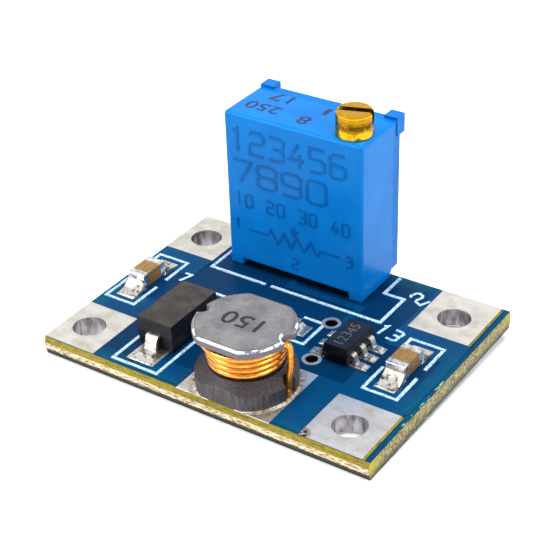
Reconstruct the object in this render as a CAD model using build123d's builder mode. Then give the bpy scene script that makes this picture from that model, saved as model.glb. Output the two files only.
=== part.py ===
# Small adjustable step-up converter module, in millimetres.
# The origin is the centre of the four corner holes, on the board's underside. +X runs along the board
# from the output end to the input end, +Y from the inductor's edge to the trimmer's edge, and +Z is up.

import os

from build123d import *

os.makedirs("parts", exist_ok=True)

# Board stack
board_length = 22.0
board_width = 16.5
laminate_thickness = 1.1
copper_thickness = 0.035
mask_thickness = 0.03
tin_thickness = 0.02
ink_thickness = 0.02
score_depth = 0.38
score_inset = 0.14

# Corner holes and their pads
hole_to_left_edge = 1.65
hole_to_right_edge = 2.45
hole_to_front_edge = 2.2
hole_to_back_edge = 2.5
hole_radius = 1.0
barrel_wall = 0.06
pad_half_width = 1.95
pad_inward = 2.1
pad_edge_strip = 0.16
pad_bare_strip = 0.14

# Copper under the mask
pour_margin = 0.3
pour_gap = 0.25
trace_width = 0.45
via_radius = 0.38
via_ring = 0.2
via_near_chip = (3.07, 1.76)
via_near_inductor = (4.0, -1.87)

# Printed outlines
ink_width = 0.2
bracket_clearance = 0.42
bracket_side_clearance = 0.63
bracket_gap = 0.9
outline_to_left = 0.6
outline_to_front = 1.2
outline_to_right = 1.95
outline_step = 0.6
outline_step_depth = 1.65
outline_gap_shift = 1.35
outline_gap = 0.4

# Inductor, a round ferrite drum with two flats
inductor_x = 2.1
drum_diameter = 5.8
drum_width = 5.2
drum_height = 3.9
drum_top_flange = 0.55
drum_base_flange = 0.9
drum_cone_run = 0.7
drum_cone_rise = 0.55
drum_undercut = 0.1
drum_groove_depth = 1.4
drum_bevel = 0.14
drum_notch_radius = 0.45
terminal_thickness = 0.05
solder_film = 0.05
puddle_reach = 0.25
puddle_height = 0.3
puddle_draft = 35.0
inductor_land_margin = 0.175
inductor_land_gap = 1.8
inductor_land_setback = 0.1
wire_diameter = 0.36
winding_turns = 5
winding_setback = 0.6
wire_bend = 0.2

# Switching chip, six-lead small outline
chip_x = 5.35
chip_y = -0.1
chip_length = 2.95
chip_width = 1.62
chip_height = 1.05
chip_standoff = 0.1
chip_draft = 8.0
chip_lead_pitch = 0.95
chip_lead_width = 0.4
chip_lead_thickness = 0.14
chip_lead_span = 3.1
chip_foot = 0.42
chip_land_width = 0.6
chip_land_length = 1.1
chip_land_reach = 1.85
chip_die_width = 0.8
chip_die_length = 1.2
die_thickness = 0.2
lead_bend_ratio = 0.8
fillet_hollow = 0.43

# Diode, moulded body with one formed lead at each end
diode_x = -4.2
diode_from_front_edge = 4.7
diode_length = 4.5
diode_width = 2.5
diode_height = 1.75
diode_draft = 5.0
diode_standoff = 0.08
diode_lead_width = 0.8
diode_lead_thickness = 0.2
diode_lead_span = 6.4
diode_foot = 0.5
diode_die_side = 1.0
diode_land_width = 1.85
diode_land_length = 1.8
diode_land_reach = 3.8

# Ceramic capacitors, long axis along Y
input_capacitor_from_hole = -0.05
output_capacitor_from_hole = -0.25
capacitor_y = 0.0
capacitor_length = 2.1
capacitor_width = 1.25
capacitor_height = 0.95
capacitor_end_band = 0.45
capacitor_end_wall = 0.03
capacitor_land_width = 1.3
capacitor_land_length = 1.4
capacitor_land_reach = 2.3

# Feedback resistor, long axis along X
resistor_x = 0.95
resistor_y = 0.25
resistor_length = 1.6
resistor_width = 0.85
resistor_height = 0.45
resistor_end_band = 0.3
resistor_end_wall = 0.03
resistor_coat_thickness = 0.03
resistor_land_width = 1.1
resistor_land_length = 0.9
resistor_land_reach = 1.45

# Multi-turn trimmer
trimmer_left = -6.0
trimmer_on_board = 3.95
trimmer_width = 9.53
trimmer_depth = 4.38
trimmer_height = 10.03
trimmer_edge_radius = 0.2
trimmer_wall = 0.45
trimmer_floor = 0.9
foot_height = 0.38
foot_width = 0.95
foot_draft = 6.0
cover_thickness = 0.83
cover_inset = 0.06
ear_width = 0.9
ear_height = 1.05
ear_reach = 0.45
ear_rise = 0.12
running_clearance = 0.03

# Trimmer's screw and wiper
screw_to_side = 1.27
screw_to_front = 1.27
screw_head_radius = 1.095
screw_head_height = 1.46
screw_head_gap = 0.06
screw_head_bevel = 0.12
slot_width = 0.5
slot_depth = 0.7
slot_turn = 18.0
neck_radius = 0.45
collar_radius = 0.72
collar_height = 0.3
thread_radius = 0.6
pivot_radius = 0.35
pivot_depth = 0.45
screw_end_gap = 0.1
seal_section = 0.26
seal_seat_gap = 0.05
carriage_length = 4.0
carriage_height = 1.2
carriage_depth = 1.83
carriage_nose = 0.6
contact_length = 3.0
contact_height = 0.8
contact_thickness = 0.08
contact_dimple_radius = 0.28
contact_dimple_height = 0.14
contact_dimple_draft = 45.0
contact_dimple_pitch = 1.9
element_side_gap = 0.215
element_height = 8.0
element_thickness = 0.5
track_width = 0.9
track_height = 7.4
track_thickness = 0.02

# Trimmer's pins
pin_radius = 0.255
pin_pitch = 2.54
pin_to_front = 2.415
pin_length_below = 0.6
pin_bend = 0.3
pin_hole_radius = 0.45
pin_ring = 0.42
solder_cone_height = 0.5
solder_cone_waist = 0.17

# Places worked out from the sizes above
hole_pitch_x = board_length - hole_to_left_edge - hole_to_right_edge
hole_pitch_y = board_width - hole_to_front_edge - hole_to_back_edge
board_left = -hole_pitch_x / 2 - hole_to_left_edge
board_right = board_left + board_length
board_front = -hole_pitch_y / 2 - hole_to_front_edge
board_back = board_front + board_width

laminate_bottom = mask_thickness + copper_thickness
laminate_top = laminate_bottom + laminate_thickness
copper_top_level = laminate_top + copper_thickness
mask_surface = copper_top_level + mask_thickness
land_surface = copper_top_level + tin_thickness
land_underside = laminate_bottom - copper_thickness - tin_thickness

hole_left = -hole_pitch_x / 2
hole_right = hole_pitch_x / 2
hole_front = -hole_pitch_y / 2
hole_back = hole_pitch_y / 2
input_capacitor_x = hole_right + input_capacitor_from_hole
output_capacitor_x = hole_left + output_capacitor_from_hole
left_pad = (board_left, hole_left + pad_half_width)
right_pad = (hole_right - pad_half_width, hole_right + pad_half_width)
front_pad = (board_front + pad_edge_strip, hole_front + pad_inward)
back_pad = (hole_back - pad_inward, board_back - pad_edge_strip)

inductor_y = board_front + drum_width / 2
diode_y = board_front + diode_from_front_edge
trimmer_front = board_back - trimmer_on_board
drum_radius = drum_diameter / 2
drum_post_radius = drum_radius - drum_groove_depth
winding_radius = drum_radius - winding_setback
inductor_land_span = drum_diameter + 2 * inductor_land_margin
inductor_land_length = drum_width - 2 * inductor_land_setback
drum_seat = land_surface + solder_film + terminal_thickness
inductor_land_width = (inductor_land_span - inductor_land_gap) / 2
inductor_land_offset = (inductor_land_span - inductor_land_width) / 2

chip_seat = land_surface + chip_standoff
chip_lead_level = chip_seat + chip_height / 2
chip_land_offset = chip_land_reach - chip_land_length / 2
diode_seat = land_surface + diode_standoff
diode_lead_level = diode_seat + diode_height / 2
diode_land_offset = diode_land_reach - diode_land_length / 2
capacitor_land_offset = capacitor_land_reach - capacitor_land_length / 2
resistor_land_offset = resistor_land_reach - resistor_land_length / 2

trimmer_right = trimmer_left + trimmer_width
trimmer_back = trimmer_front + trimmer_depth
trimmer_middle = (trimmer_left + trimmer_right) / 2
trimmer_bottom = mask_surface + foot_height
trimmer_top = trimmer_bottom + trimmer_height
cover_front = trimmer_back - cover_thickness
cavity_bottom = trimmer_bottom + trimmer_floor
cavity_top = trimmer_top - trimmer_floor
screw_x = trimmer_right - screw_to_side
screw_y = trimmer_front + screw_to_front
pin_y = trimmer_front + pin_to_front
pin_xs = [trimmer_middle - pin_pitch, trimmer_middle, trimmer_middle + pin_pitch]
pin_ring_radius = pin_hole_radius + pin_ring
element_front = cover_front - element_thickness
element_width = trimmer_width - 2 * trimmer_wall - 2 * element_side_gap
thread_bottom = cavity_bottom + screw_end_gap
collar_top = cavity_top - seal_section - seal_seat_gap
collar_bottom = collar_top - collar_height
carriage_right = screw_x + carriage_nose
carriage_left = carriage_right - carriage_length
contact_front = element_front - track_thickness - 2 * running_clearance - contact_dimple_height
carriage_back = contact_front - contact_thickness
carriage_middle = (thread_bottom + collar_bottom + pin_bend + pin_radius) / 2
dimple_xs = [
    (carriage_left + carriage_right - contact_dimple_pitch) / 2,
    (carriage_left + carriage_right + contact_dimple_pitch) / 2,
]


def middle(span):
    return (span[0] + span[1]) / 2


def width(span):
    return span[1] - span[0]


# A rectangle between two x and two y values, drawn into the open sketch
def patch(xs, ys, mode=Mode.ADD):
    with Locations((middle(xs), middle(ys))):
        Rectangle(width(xs), width(ys), mode=mode)


# A flat-sided block between pairs of x, y and z values, made in the open part
def block(xs, ys, zs, mode=Mode.ADD):
    with BuildSketch(Plane.XY.offset(zs[0])) as outline:
        patch(xs, ys)
    extrude(outline.sketch, amount=width(zs), mode=mode)


# A round bar along Z, made in the open part
def bar(centre, radius, zs, mode=Mode.ADD):
    with BuildSketch(Plane.XY.offset(zs[0])) as outline:
        with Locations(centre):
            Circle(radius)
    extrude(outline.sketch, amount=width(zs), mode=mode)


# A plated hole: an eyelet with a ring on both faces
def eyelet(centre, radius, ring_radius):
    bar(centre, ring_radius, (laminate_top, land_surface))
    bar(centre, ring_radius, (land_underside, laminate_bottom))
    bar(centre, radius + barrel_wall, (land_underside, land_surface))
    bar(centre, radius, (land_underside, land_surface), Mode.SUBTRACT)


def keep(part, name):
    part.label = name
    export_step(part, f"parts/{name}.step")


# Where the pads, lands and rings lie, drawn once and used by the tin, the copper and the mask
capacitor_xs = [input_capacitor_x, output_capacitor_x]
chip_rows = [chip_y - chip_lead_pitch, chip_y, chip_y + chip_lead_pitch]

with BuildSketch(Plane.XY.offset(laminate_top)) as lands:
    for side in (-1, 1):
        with Locations((inductor_x + side * inductor_land_offset, inductor_y)):
            Rectangle(inductor_land_width, inductor_land_length)
        with Locations((diode_x, diode_y + side * diode_land_offset)):
            Rectangle(diode_land_width, diode_land_length)
        with Locations((resistor_x + side * resistor_land_offset, resistor_y)):
            Rectangle(resistor_land_length, resistor_land_width)
        with Locations([(x, capacitor_y + side * capacitor_land_offset) for x in capacitor_xs]):
            Rectangle(capacitor_land_width, capacitor_land_length)
        with Locations([(chip_x + side * chip_land_offset, y) for y in chip_rows]):
            Rectangle(chip_land_length, chip_land_width)

with BuildSketch(Plane.XY.offset(laminate_top)) as rings:
    with Locations(via_near_chip, via_near_inductor):
        Circle(via_radius + via_ring)
    with Locations([(x, pin_y) for x in pin_xs]):
        Circle(pin_ring_radius)

# The mask stops short of the outer side of the right-hand pads and leaves a strip of bare laminate
bare_right_pad = (right_pad[0], right_pad[1] + pad_bare_strip)
with BuildSketch(Plane.XY.offset(laminate_top)) as pad_openings:
    for xs in (left_pad, bare_right_pad):
        for ys in (front_pad, back_pad):
            patch(xs, ys)

corner_holes = [(x, y) for x in (hole_left, hole_right) for y in (hole_front, hole_back)]
pin_places = [(x, pin_y) for x in pin_xs]


# Glass-fibre laminate: long edges scored and snapped, short edges routed
with BuildPart() as board_laminate:
    block((board_left, board_right), (board_front, board_back), (laminate_bottom, laminate_top))
    for face in board_laminate.faces().filter_by(Axis.Y):
        score_edges = face.edges().filter_by(Axis.X)
        chamfer(score_edges, length=score_depth, length2=score_inset, reference=face)
    drilled = (laminate_bottom, laminate_top)
    for centre in corner_holes:
        bar(centre, hole_radius + barrel_wall, drilled, Mode.SUBTRACT)
    for centre in pin_places:
        bar(centre, pin_hole_radius + barrel_wall, drilled, Mode.SUBTRACT)
    for centre in (via_near_chip, via_near_inductor):
        bar(centre, via_radius + barrel_wall, drilled, Mode.SUBTRACT)
keep(board_laminate.part, "board_laminate")

# Copper on the component side: one pour for each net, and the feedback trace
inductor_left_land = inductor_x - inductor_land_offset
inductor_right_land = inductor_x + inductor_land_offset
front_line = board_front + pour_margin
back_line = board_back - pour_margin
chip_left_lands = chip_x - chip_land_reach
chip_right_lands = chip_x + chip_land_reach
inductor_back = inductor_y + inductor_land_length / 2
capacitor_front = capacitor_y - capacitor_land_offset
capacitor_back = capacitor_y + capacitor_land_offset
diode_back_land = diode_y + diode_land_offset
feedback_y = trimmer_front - pour_margin

with BuildSketch(Plane.XY.offset(laminate_top)) as top_pours:
    # input plus: corner pad, inductor, capacitor and the chip's supply leads
    patch((inductor_right_land, right_pad[1]), (front_line, inductor_back))
    patch((chip_right_lands - trace_width, right_pad[1] - pour_gap), (inductor_back, capacitor_front))
    # input minus: corner pad, capacitor and the strip along the input end
    patch((right_pad[0] - pour_gap, board_right - pour_margin), (capacitor_back, back_line))
    patch((right_pad[1] - 2 * pour_gap, board_right - pour_margin), (front_pad[1] + pour_gap, capacitor_back))
    # switch node: inductor, diode and chip
    patch((diode_x - pour_gap, inductor_left_land), (front_line, diode_y - diode_land_offset))
    patch((inductor_left_land, chip_left_lands), (inductor_back, chip_rows[0]))
    patch((inductor_left_land, inductor_left_land + 2 * trace_width), (inductor_y, inductor_back))
    # output plus: corner pad, capacitor and the diode's far lead
    patch((board_left + pour_margin, left_pad[1]), (front_line, capacitor_front))
    patch((left_pad[1] - pour_gap, diode_x), (capacitor_front - pour_gap, diode_back_land))
    # output minus: corner pad and capacitor
    patch((board_left + pour_margin, left_pad[1]), (capacitor_back, back_line))
    # feedback: trimmer's wiper pin, resistor and chip
    patch((pin_xs[1] - trace_width / 2, pin_xs[1] + trace_width / 2), (feedback_y - trace_width, pin_y))
    patch((pin_xs[1], chip_left_lands + trace_width), (feedback_y - trace_width, feedback_y))
    patch((chip_left_lands, chip_left_lands + trace_width), (chip_rows[2], feedback_y))
    for area in (lands, rings, pad_openings):
        add(area.sketch, mode=Mode.SUBTRACT)

with BuildPart() as copper_top:
    extrude(top_pours.sketch, amount=copper_thickness)
keep(copper_top.part, "copper_top")

# Copper on the underside: a ground plane that clears the two live corner pads and the holes
live_left_pad = (board_left, left_pad[1] + pour_gap)
live_right_pad = (right_pad[0] - pour_gap, board_right)
live_front_pad = (board_front, front_pad[1] + pour_gap)
ground_span = (laminate_bottom - copper_thickness, laminate_bottom)

with BuildPart() as copper_bottom:
    ground_xs = (board_left + pour_margin, board_right - pour_margin)
    block(ground_xs, (front_line, back_line), ground_span)
    for xs in (live_left_pad, live_right_pad):
        block(xs, live_front_pad, ground_span, Mode.SUBTRACT)
    for xs in (left_pad, right_pad):
        block(xs, back_pad, ground_span, Mode.SUBTRACT)
    for centre in pin_places:
        bar(centre, pin_ring_radius + pour_gap, ground_span, Mode.SUBTRACT)
    for centre in (via_near_chip, via_near_inductor):
        bar(centre, via_radius + via_ring, ground_span, Mode.SUBTRACT)
keep(copper_bottom.part, "copper_bottom")

# Tinned corner pads with their plated barrels
corner_pads = {
    "output_plus_pad": (left_pad, front_pad, (hole_left, hole_front)),
    "output_minus_pad": (left_pad, back_pad, (hole_left, hole_back)),
    "input_plus_pad": (right_pad, front_pad, (hole_right, hole_front)),
    "input_minus_pad": (right_pad, back_pad, (hole_right, hole_back)),
}
for name, (xs, ys, centre) in corner_pads.items():
    with BuildPart() as corner_pad:
        block(xs, ys, (laminate_top, land_surface))
        block(xs, ys, (land_underside, laminate_bottom))
        bar(centre, hole_radius + barrel_wall, (land_underside, land_surface))
        bar(centre, hole_radius, (land_underside, land_surface), Mode.SUBTRACT)
    keep(corner_pad.part, name)

with BuildPart() as component_lands:
    extrude(lands.sketch, amount=land_surface - laminate_top)
keep(component_lands.part, "component_lands")

with BuildPart() as via_plating:
    eyelet(via_near_chip, via_radius, via_radius + via_ring)
    eyelet(via_near_inductor, via_radius, via_radius + via_ring)
keep(via_plating.part, "via_plating")

with BuildPart() as trimmer_hole_plating:
    for centre in pin_places:
        eyelet(centre, pin_hole_radius, pin_ring_radius)
keep(trimmer_hole_plating.part, "trimmer_hole_plating")

# Solder mask: a thin coat that rises over the copper and is open over pads, lands and rings
mask_ys = (board_front + score_inset, board_back - score_inset)

with BuildPart() as solder_mask_top:
    block((board_left, board_right), mask_ys, (laminate_top, laminate_top + mask_thickness))
    with BuildSketch(Plane.XY.offset(laminate_top)) as raised:
        add(top_pours.sketch)
        offset(amount=mask_thickness, kind=Kind.INTERSECTION)
    extrude(raised.sketch, amount=mask_surface - laminate_top)
    extrude(top_pours.sketch, amount=copper_thickness, mode=Mode.SUBTRACT)
    for area in (lands, rings, pad_openings):
        extrude(area.sketch, amount=mask_surface - laminate_top, mode=Mode.SUBTRACT)
keep(solder_mask_top.part, "solder_mask_top")

with BuildPart() as solder_mask_bottom:
    block((board_left, board_right), mask_ys, (0, laminate_bottom))
    add(copper_bottom.part, mode=Mode.SUBTRACT)
    for xs in (left_pad, bare_right_pad):
        for ys in (front_pad, back_pad):
            block(xs, ys, (0, laminate_bottom), Mode.SUBTRACT)
    for centre in pin_places:
        bar(centre, pin_ring_radius, (0, laminate_bottom), Mode.SUBTRACT)
    for centre in (via_near_chip, via_near_inductor):
        bar(centre, via_radius + via_ring, (0, laminate_bottom), Mode.SUBTRACT)
keep(solder_mask_bottom.part, "solder_mask_bottom")

# Printed outlines: a bracket round each end of the small parts, and the trimmer's stepped outline
ink_bottom = laminate_top + mask_thickness
ink_top = mask_surface + ink_thickness
outline_left = trimmer_left - outline_to_left
outline_front = trimmer_front - outline_to_front
outline_right = trimmer_right + outline_to_right
outline_step_x = trimmer_right + outline_step
outline_step_y = trimmer_front + outline_step_depth
outline_break = trimmer_middle - outline_gap_shift


# One square bracket that opens towards the part's middle, in the open sketch
def bracket(centre, along_x, side, reach, half_width):
    arm = side * (bracket_gap / 2)
    end = side * (reach + bracket_clearance)
    corners = [(arm, -half_width), (end, -half_width), (end, half_width), (arm, half_width)]
    if not along_x:
        corners = [(y, x) for x, y in corners]
    with BuildLine() as stroke:
        Polyline(*[(centre[0] + x, centre[1] + y) for x, y in corners])
    trace(stroke.line.edges(), line_width=ink_width)


with BuildPart() as silkscreen_top:
    with BuildSketch(Plane.XY.offset(ink_bottom)) as ink:
        for side in (-1, 1):
            for x in capacitor_xs:
                half = capacitor_land_width / 2 + bracket_clearance
                bracket((x, capacitor_y), False, side, capacitor_land_reach, half)
            half = diode_land_width / 2 + bracket_side_clearance
            bracket((diode_x, diode_y), False, side, diode_land_reach, half)
            half = resistor_land_width / 2 + bracket_side_clearance
            bracket((resistor_x, resistor_y), True, side, resistor_land_reach, half)
        with BuildLine() as left_stroke:
            Polyline(
                (outline_left, back_line),
                (outline_left, outline_front),
                (outline_break, outline_front),
            )
        trace(left_stroke.line.edges(), line_width=ink_width)
        with BuildLine() as right_stroke:
            Polyline(
                (outline_break + outline_gap, outline_front),
                (outline_right, outline_front),
                (outline_right, outline_step_y),
                (outline_step_x, outline_step_y),
                (outline_step_x, back_line),
            )
        trace(right_stroke.line.edges(), line_width=ink_width)
    extrude(ink.sketch, amount=ink_top - ink_bottom)
    for area in (lands, rings, pad_openings):
        extrude(area.sketch, amount=ink_top - laminate_top, mode=Mode.SUBTRACT)
    for coat in (solder_mask_top, copper_top):
        add(coat.part, mode=Mode.SUBTRACT)
keep(silkscreen_top.part, "silkscreen_top")


# A plane that stands on edge at a part's middle: its x runs outwards, its y runs up
def standing(x, y, outward):
    across = Vector(outward).cross(Vector(0, 0, 1))
    return Plane(origin=(x, y, 0), x_dir=outward, z_dir=across)


# A flat lead formed down to its land, drawn as a line with thickness and given its width
def formed_lead(plane, root, knee, foot, tip, level, thickness, lead_width):
    foot_level = land_surface + thickness / 2
    with BuildSketch(plane) as profile:
        with BuildLine() as path:
            points = [(root, level), (knee, level), (foot, foot_level), (tip, foot_level)]
            FilletPolyline(*points, radius=lead_bend_ratio * thickness)
        trace(path.line.edges(), line_width=thickness)
    extrude(profile.sketch, amount=lead_width / 2, both=True)


# A solder fillet: hollow-faced wedge from the land up an end face
def solder_wedge(plane, start, run, rise, wedge_width):
    with BuildSketch(plane) as profile:
        with BuildLine():
            foot = (start, land_surface)
            toe = (start + run, land_surface)
            top = (start, land_surface + rise)
            hollow = (start + fillet_hollow * run, land_surface + fillet_hollow * rise)
            Line(foot, toe)
            ThreePointArc(toe, hollow, top)
            Line(top, foot)
        make_face()
    extrude(profile.sketch, amount=wedge_width / 2, both=True)


# A moulded body: its sides draft inwards above and below the lead line
def moulded_body(x, y, size_x, size_y, seat, height, draft):
    with BuildSketch(Plane.XY.offset(seat + height / 2)) as waist:
        with Locations((x, y)):
            Rectangle(size_x, size_y)
    extrude(waist.sketch, amount=height / 2, taper=draft)
    extrude(waist.sketch, amount=-height / 2, taper=draft)


# Switching chip
lead_root = chip_width / 2 - 2 * chip_lead_thickness
lead_knee = chip_width / 2 + chip_lead_thickness
lead_tip = chip_lead_span / 2
lead_foot = lead_tip - chip_foot
chip_directions = [(-1, 0, 0), (1, 0, 0)]

with BuildPart() as chip_leads:
    for outward in chip_directions:
        for y in chip_rows:
            formed_lead(
                standing(chip_x, y, outward), lead_root, lead_knee, lead_foot, lead_tip,
                chip_lead_level, chip_lead_thickness, chip_lead_width,
            )
keep(chip_leads.part, "chip_leads")

chip_die_xs = (chip_x - chip_die_width / 2, chip_x + chip_die_width / 2)
chip_die_ys = (chip_y - chip_die_length / 2, chip_y + chip_die_length / 2)
with BuildPart() as chip_die:
    block(chip_die_xs, chip_die_ys, (chip_lead_level, chip_lead_level + die_thickness))
keep(chip_die.part, "chip_die")

with BuildPart() as chip_body:
    moulded_body(chip_x, chip_y, chip_width, chip_length, chip_seat, chip_height, chip_draft)
    for inner in (chip_leads, chip_die):
        add(inner.part, mode=Mode.SUBTRACT)
keep(chip_body.part, "chip_body")

with BuildPart() as chip_solder:
    for outward in chip_directions:
        for y in chip_rows:
            solder_wedge(
                standing(chip_x, y, outward), lead_tip, chip_land_reach - lead_tip,
                chip_lead_thickness, chip_lead_width,
            )
keep(chip_solder.part, "chip_solder")

# Diode
diode_root = diode_length / 2 - 2 * diode_lead_thickness
diode_knee = diode_length / 2 + diode_lead_thickness
diode_tip = diode_lead_span / 2
diode_heel = diode_tip - diode_foot
diode_directions = [(0, -1, 0), (0, 1, 0)]

with BuildPart() as diode_leads:
    for outward in diode_directions:
        formed_lead(
            standing(diode_x, diode_y, outward), diode_root, diode_knee, diode_heel, diode_tip,
            diode_lead_level, diode_lead_thickness, diode_lead_width,
        )
keep(diode_leads.part, "diode_leads")

diode_die_xs = (diode_x - diode_die_side / 2, diode_x + diode_die_side / 2)
diode_die_ys = (diode_y - diode_die_side / 2, diode_y + diode_die_side / 2)
with BuildPart() as diode_die:
    block(diode_die_xs, diode_die_ys, (diode_lead_level, diode_lead_level + die_thickness))
keep(diode_die.part, "diode_die")

with BuildPart() as diode_body:
    moulded_body(diode_x, diode_y, diode_width, diode_length, diode_seat, diode_height, diode_draft)
    for inner in (diode_leads, diode_die):
        add(inner.part, mode=Mode.SUBTRACT)
keep(diode_body.part, "diode_body")

with BuildPart() as diode_solder:
    for outward in diode_directions:
        solder_wedge(
            standing(diode_x, diode_y, outward), diode_tip, diode_land_reach - diode_tip,
            diode_lead_thickness, diode_lead_width,
        )
keep(diode_solder.part, "diode_solder")

# Ceramic capacitors: a fired block in two silvered end cups
capacitors = {"input_capacitor": input_capacitor_x, "output_capacitor": output_capacitor_x}
ceramic_half_width = capacitor_width / 2 - capacitor_end_wall
ceramic_half_length = capacitor_length / 2 - capacitor_end_wall
ceramic_ys = (capacitor_y - ceramic_half_length, capacitor_y + ceramic_half_length)
cup_zs = (land_surface, land_surface + capacitor_height)
ceramic_zs = (cup_zs[0] + capacitor_end_wall, cup_zs[1] - capacitor_end_wall)
capacitor_end = capacitor_length / 2
front_cup_ys = (capacitor_y - capacitor_end, capacitor_y - capacitor_end + capacitor_end_band)
back_cup_ys = (capacitor_y + capacitor_end - capacitor_end_band, capacitor_y + capacitor_end)

for name, x in capacitors.items():
    with BuildPart() as ceramic:
        block((x - ceramic_half_width, x + ceramic_half_width), ceramic_ys, ceramic_zs)
    keep(ceramic.part, name + "_ceramic")

    with BuildPart() as ends:
        cup_xs = (x - capacitor_width / 2, x + capacitor_width / 2)
        block(cup_xs, front_cup_ys, cup_zs)
        block(cup_xs, back_cup_ys, cup_zs)
        outer_edges = ends.edges().group_by(Axis.Y)[0] + ends.edges().group_by(Axis.Y)[-1]
        fillet(outer_edges + ends.edges().filter_by(Axis.Y), radius=2 * capacitor_end_wall)
        add(ceramic.part, mode=Mode.SUBTRACT)
    keep(ends.part, name + "_ends")

    with BuildPart() as solder:
        for outward in diode_directions:
            solder_wedge(
                standing(x, capacitor_y, outward), capacitor_end,
                capacitor_land_reach - capacitor_end - pour_gap,
                capacitor_height / 2, capacitor_width - 4 * capacitor_end_wall,
            )
    keep(solder.part, name + "_solder")

# Feedback resistor: alumina chip with a dark coat between two wrapped ends
resistor_ys = (resistor_y - resistor_width / 2, resistor_y + resistor_width / 2)
resistor_inner = resistor_length / 2 - resistor_end_wall
resistor_zs = (land_surface + resistor_end_wall, land_surface + resistor_height - resistor_end_wall)

with BuildPart() as resistor_body:
    block((resistor_x - resistor_inner, resistor_x + resistor_inner), resistor_ys, resistor_zs)
keep(resistor_body.part, "resistor_body")

with BuildPart() as resistor_ends:
    for side in (-1, 1):
        outer = resistor_x + side * resistor_length / 2
        inner = outer - side * resistor_end_band
        end_xs = (min(outer, inner), max(outer, inner))
        block(end_xs, resistor_ys, (land_surface, land_surface + resistor_height))
    add(resistor_body.part, mode=Mode.SUBTRACT)
keep(resistor_ends.part, "resistor_ends")

with BuildPart() as resistor_coat:
    coat_half = resistor_length / 2 - resistor_end_band
    coat_zs = (resistor_zs[1], resistor_zs[1] + resistor_coat_thickness)
    block((resistor_x - coat_half, resistor_x + coat_half), resistor_ys, coat_zs)
keep(resistor_coat.part, "resistor_coat")

with BuildPart() as resistor_solder:
    for outward in chip_directions:
        solder_wedge(
            standing(resistor_x, resistor_y, outward), resistor_length / 2,
            resistor_land_reach - resistor_length / 2 - pour_gap,
            resistor_height / 2, resistor_width,
        )
keep(resistor_solder.part, "resistor_solder")

# Inductor: pressed ferrite drum with two flats and a wire notch at each end of its long axis
drum_axis = Axis((inductor_x, inductor_y, 0), (0, 0, 1))
drum_plane = Plane(origin=(inductor_x, inductor_y, drum_seat))
drum_section = Plane(origin=(inductor_x, inductor_y, drum_seat), x_dir=(1, 0, 0), z_dir=(0, -1, 0))
flange_bottom = drum_height - drum_top_flange
cone_top = drum_base_flange + drum_cone_rise
shelf_radius = drum_radius - drum_cone_run
notch_centres = [(-drum_radius, 0), (drum_radius, 0)]

with BuildSketch(drum_plane) as drum_outline:
    Circle(drum_radius)
    Rectangle(drum_diameter, drum_width, mode=Mode.INTERSECT)
    with Locations(*notch_centres):
        Circle(drum_notch_radius, mode=Mode.SUBTRACT)

with BuildPart() as inductor_core:
    with BuildSketch(drum_section) as half_section:
        with BuildLine():
            Polyline(
                (0, 0),
                (drum_radius, 0),
                (drum_radius, drum_base_flange),
                (shelf_radius, cone_top),
                (drum_post_radius, cone_top),
                (drum_post_radius, flange_bottom),
                (drum_radius, flange_bottom + drum_undercut),
                (drum_radius, drum_height),
                (0, drum_height),
                close=True,
            )
        make_face()
    revolve(half_section.sketch, axis=drum_axis)
    extrude(drum_outline.sketch, amount=drum_height, mode=Mode.INTERSECT)
    chamfer(inductor_core.edges().group_by(Axis.Z)[-1], length=drum_bevel)
keep(inductor_core.part, "inductor_core")

# Winding: stacked turns of round wire, and a tail down each notch
wire_radius = wire_diameter / 2
turn_radius = winding_radius - wire_radius
tail_radius = drum_radius - drum_notch_radius + wire_radius + running_clearance
winding_bottom = cone_top
winding_top = winding_bottom + winding_turns * wire_diameter
wire_corner = wire_radius / 2**0.5

with BuildPart() as inductor_winding:
    with BuildSketch(drum_section) as turns:
        with BuildLine():
            outline = [(drum_post_radius, winding_top), (drum_post_radius, winding_bottom)]
            for turn in range(winding_turns):
                centre_level = winding_bottom + turn * wire_diameter + wire_radius
                outline += [
                    (turn_radius, centre_level - wire_radius),
                    (turn_radius + wire_corner, centre_level - wire_corner),
                    (winding_radius, centre_level),
                    (turn_radius + wire_corner, centre_level + wire_corner),
                ]
            outline += [(turn_radius, winding_top)]
            Polyline(*outline, close=True)
        make_face()
    revolve(turns.sketch, axis=drum_axis)
    for outward in chip_directions:
        tail_plane = standing(inductor_x, inductor_y, outward)
        tail_top = drum_seat + winding_top - 2 * wire_diameter
        with BuildLine(tail_plane) as tail:
            FilletPolyline(
                (turn_radius - wire_diameter, tail_top),
                (tail_radius, tail_top),
                (tail_radius, land_surface),
                radius=wire_bend,
            )
        with BuildSketch(Plane(tail.line @ 0, z_dir=outward)) as wire_end:
            Circle(wire_radius)
        sweep(wire_end.sketch, path=tail.line)
keep(inductor_winding.part, "inductor_winding")

with BuildPart() as inductor_terminals:
    extrude(drum_outline.sketch, amount=-terminal_thickness)
    gap_half = inductor_land_gap / 2
    gap_zs = (drum_seat - terminal_thickness, drum_seat)
    gap_ys = (inductor_y - drum_radius, inductor_y + drum_radius)
    block((inductor_x - gap_half, inductor_x + gap_half), gap_ys, gap_zs, Mode.SUBTRACT)
keep(inductor_terminals.part, "inductor_terminals")

with BuildPart() as inductor_solder:
    with BuildSketch(Plane.XY.offset(land_surface)) as puddle:
        with Locations((inductor_x, inductor_y)):
            Circle(drum_radius + puddle_reach)
            Rectangle(inductor_land_span, inductor_land_length, mode=Mode.INTERSECT)
            Rectangle(inductor_land_gap, drum_diameter, mode=Mode.SUBTRACT)
    extrude(puddle.sketch, amount=puddle_height, taper=puddle_draft)
    for inner in (inductor_core, inductor_terminals, inductor_winding):
        add(inner.part, mode=Mode.SUBTRACT)
keep(inductor_solder.part, "inductor_solder")

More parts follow.
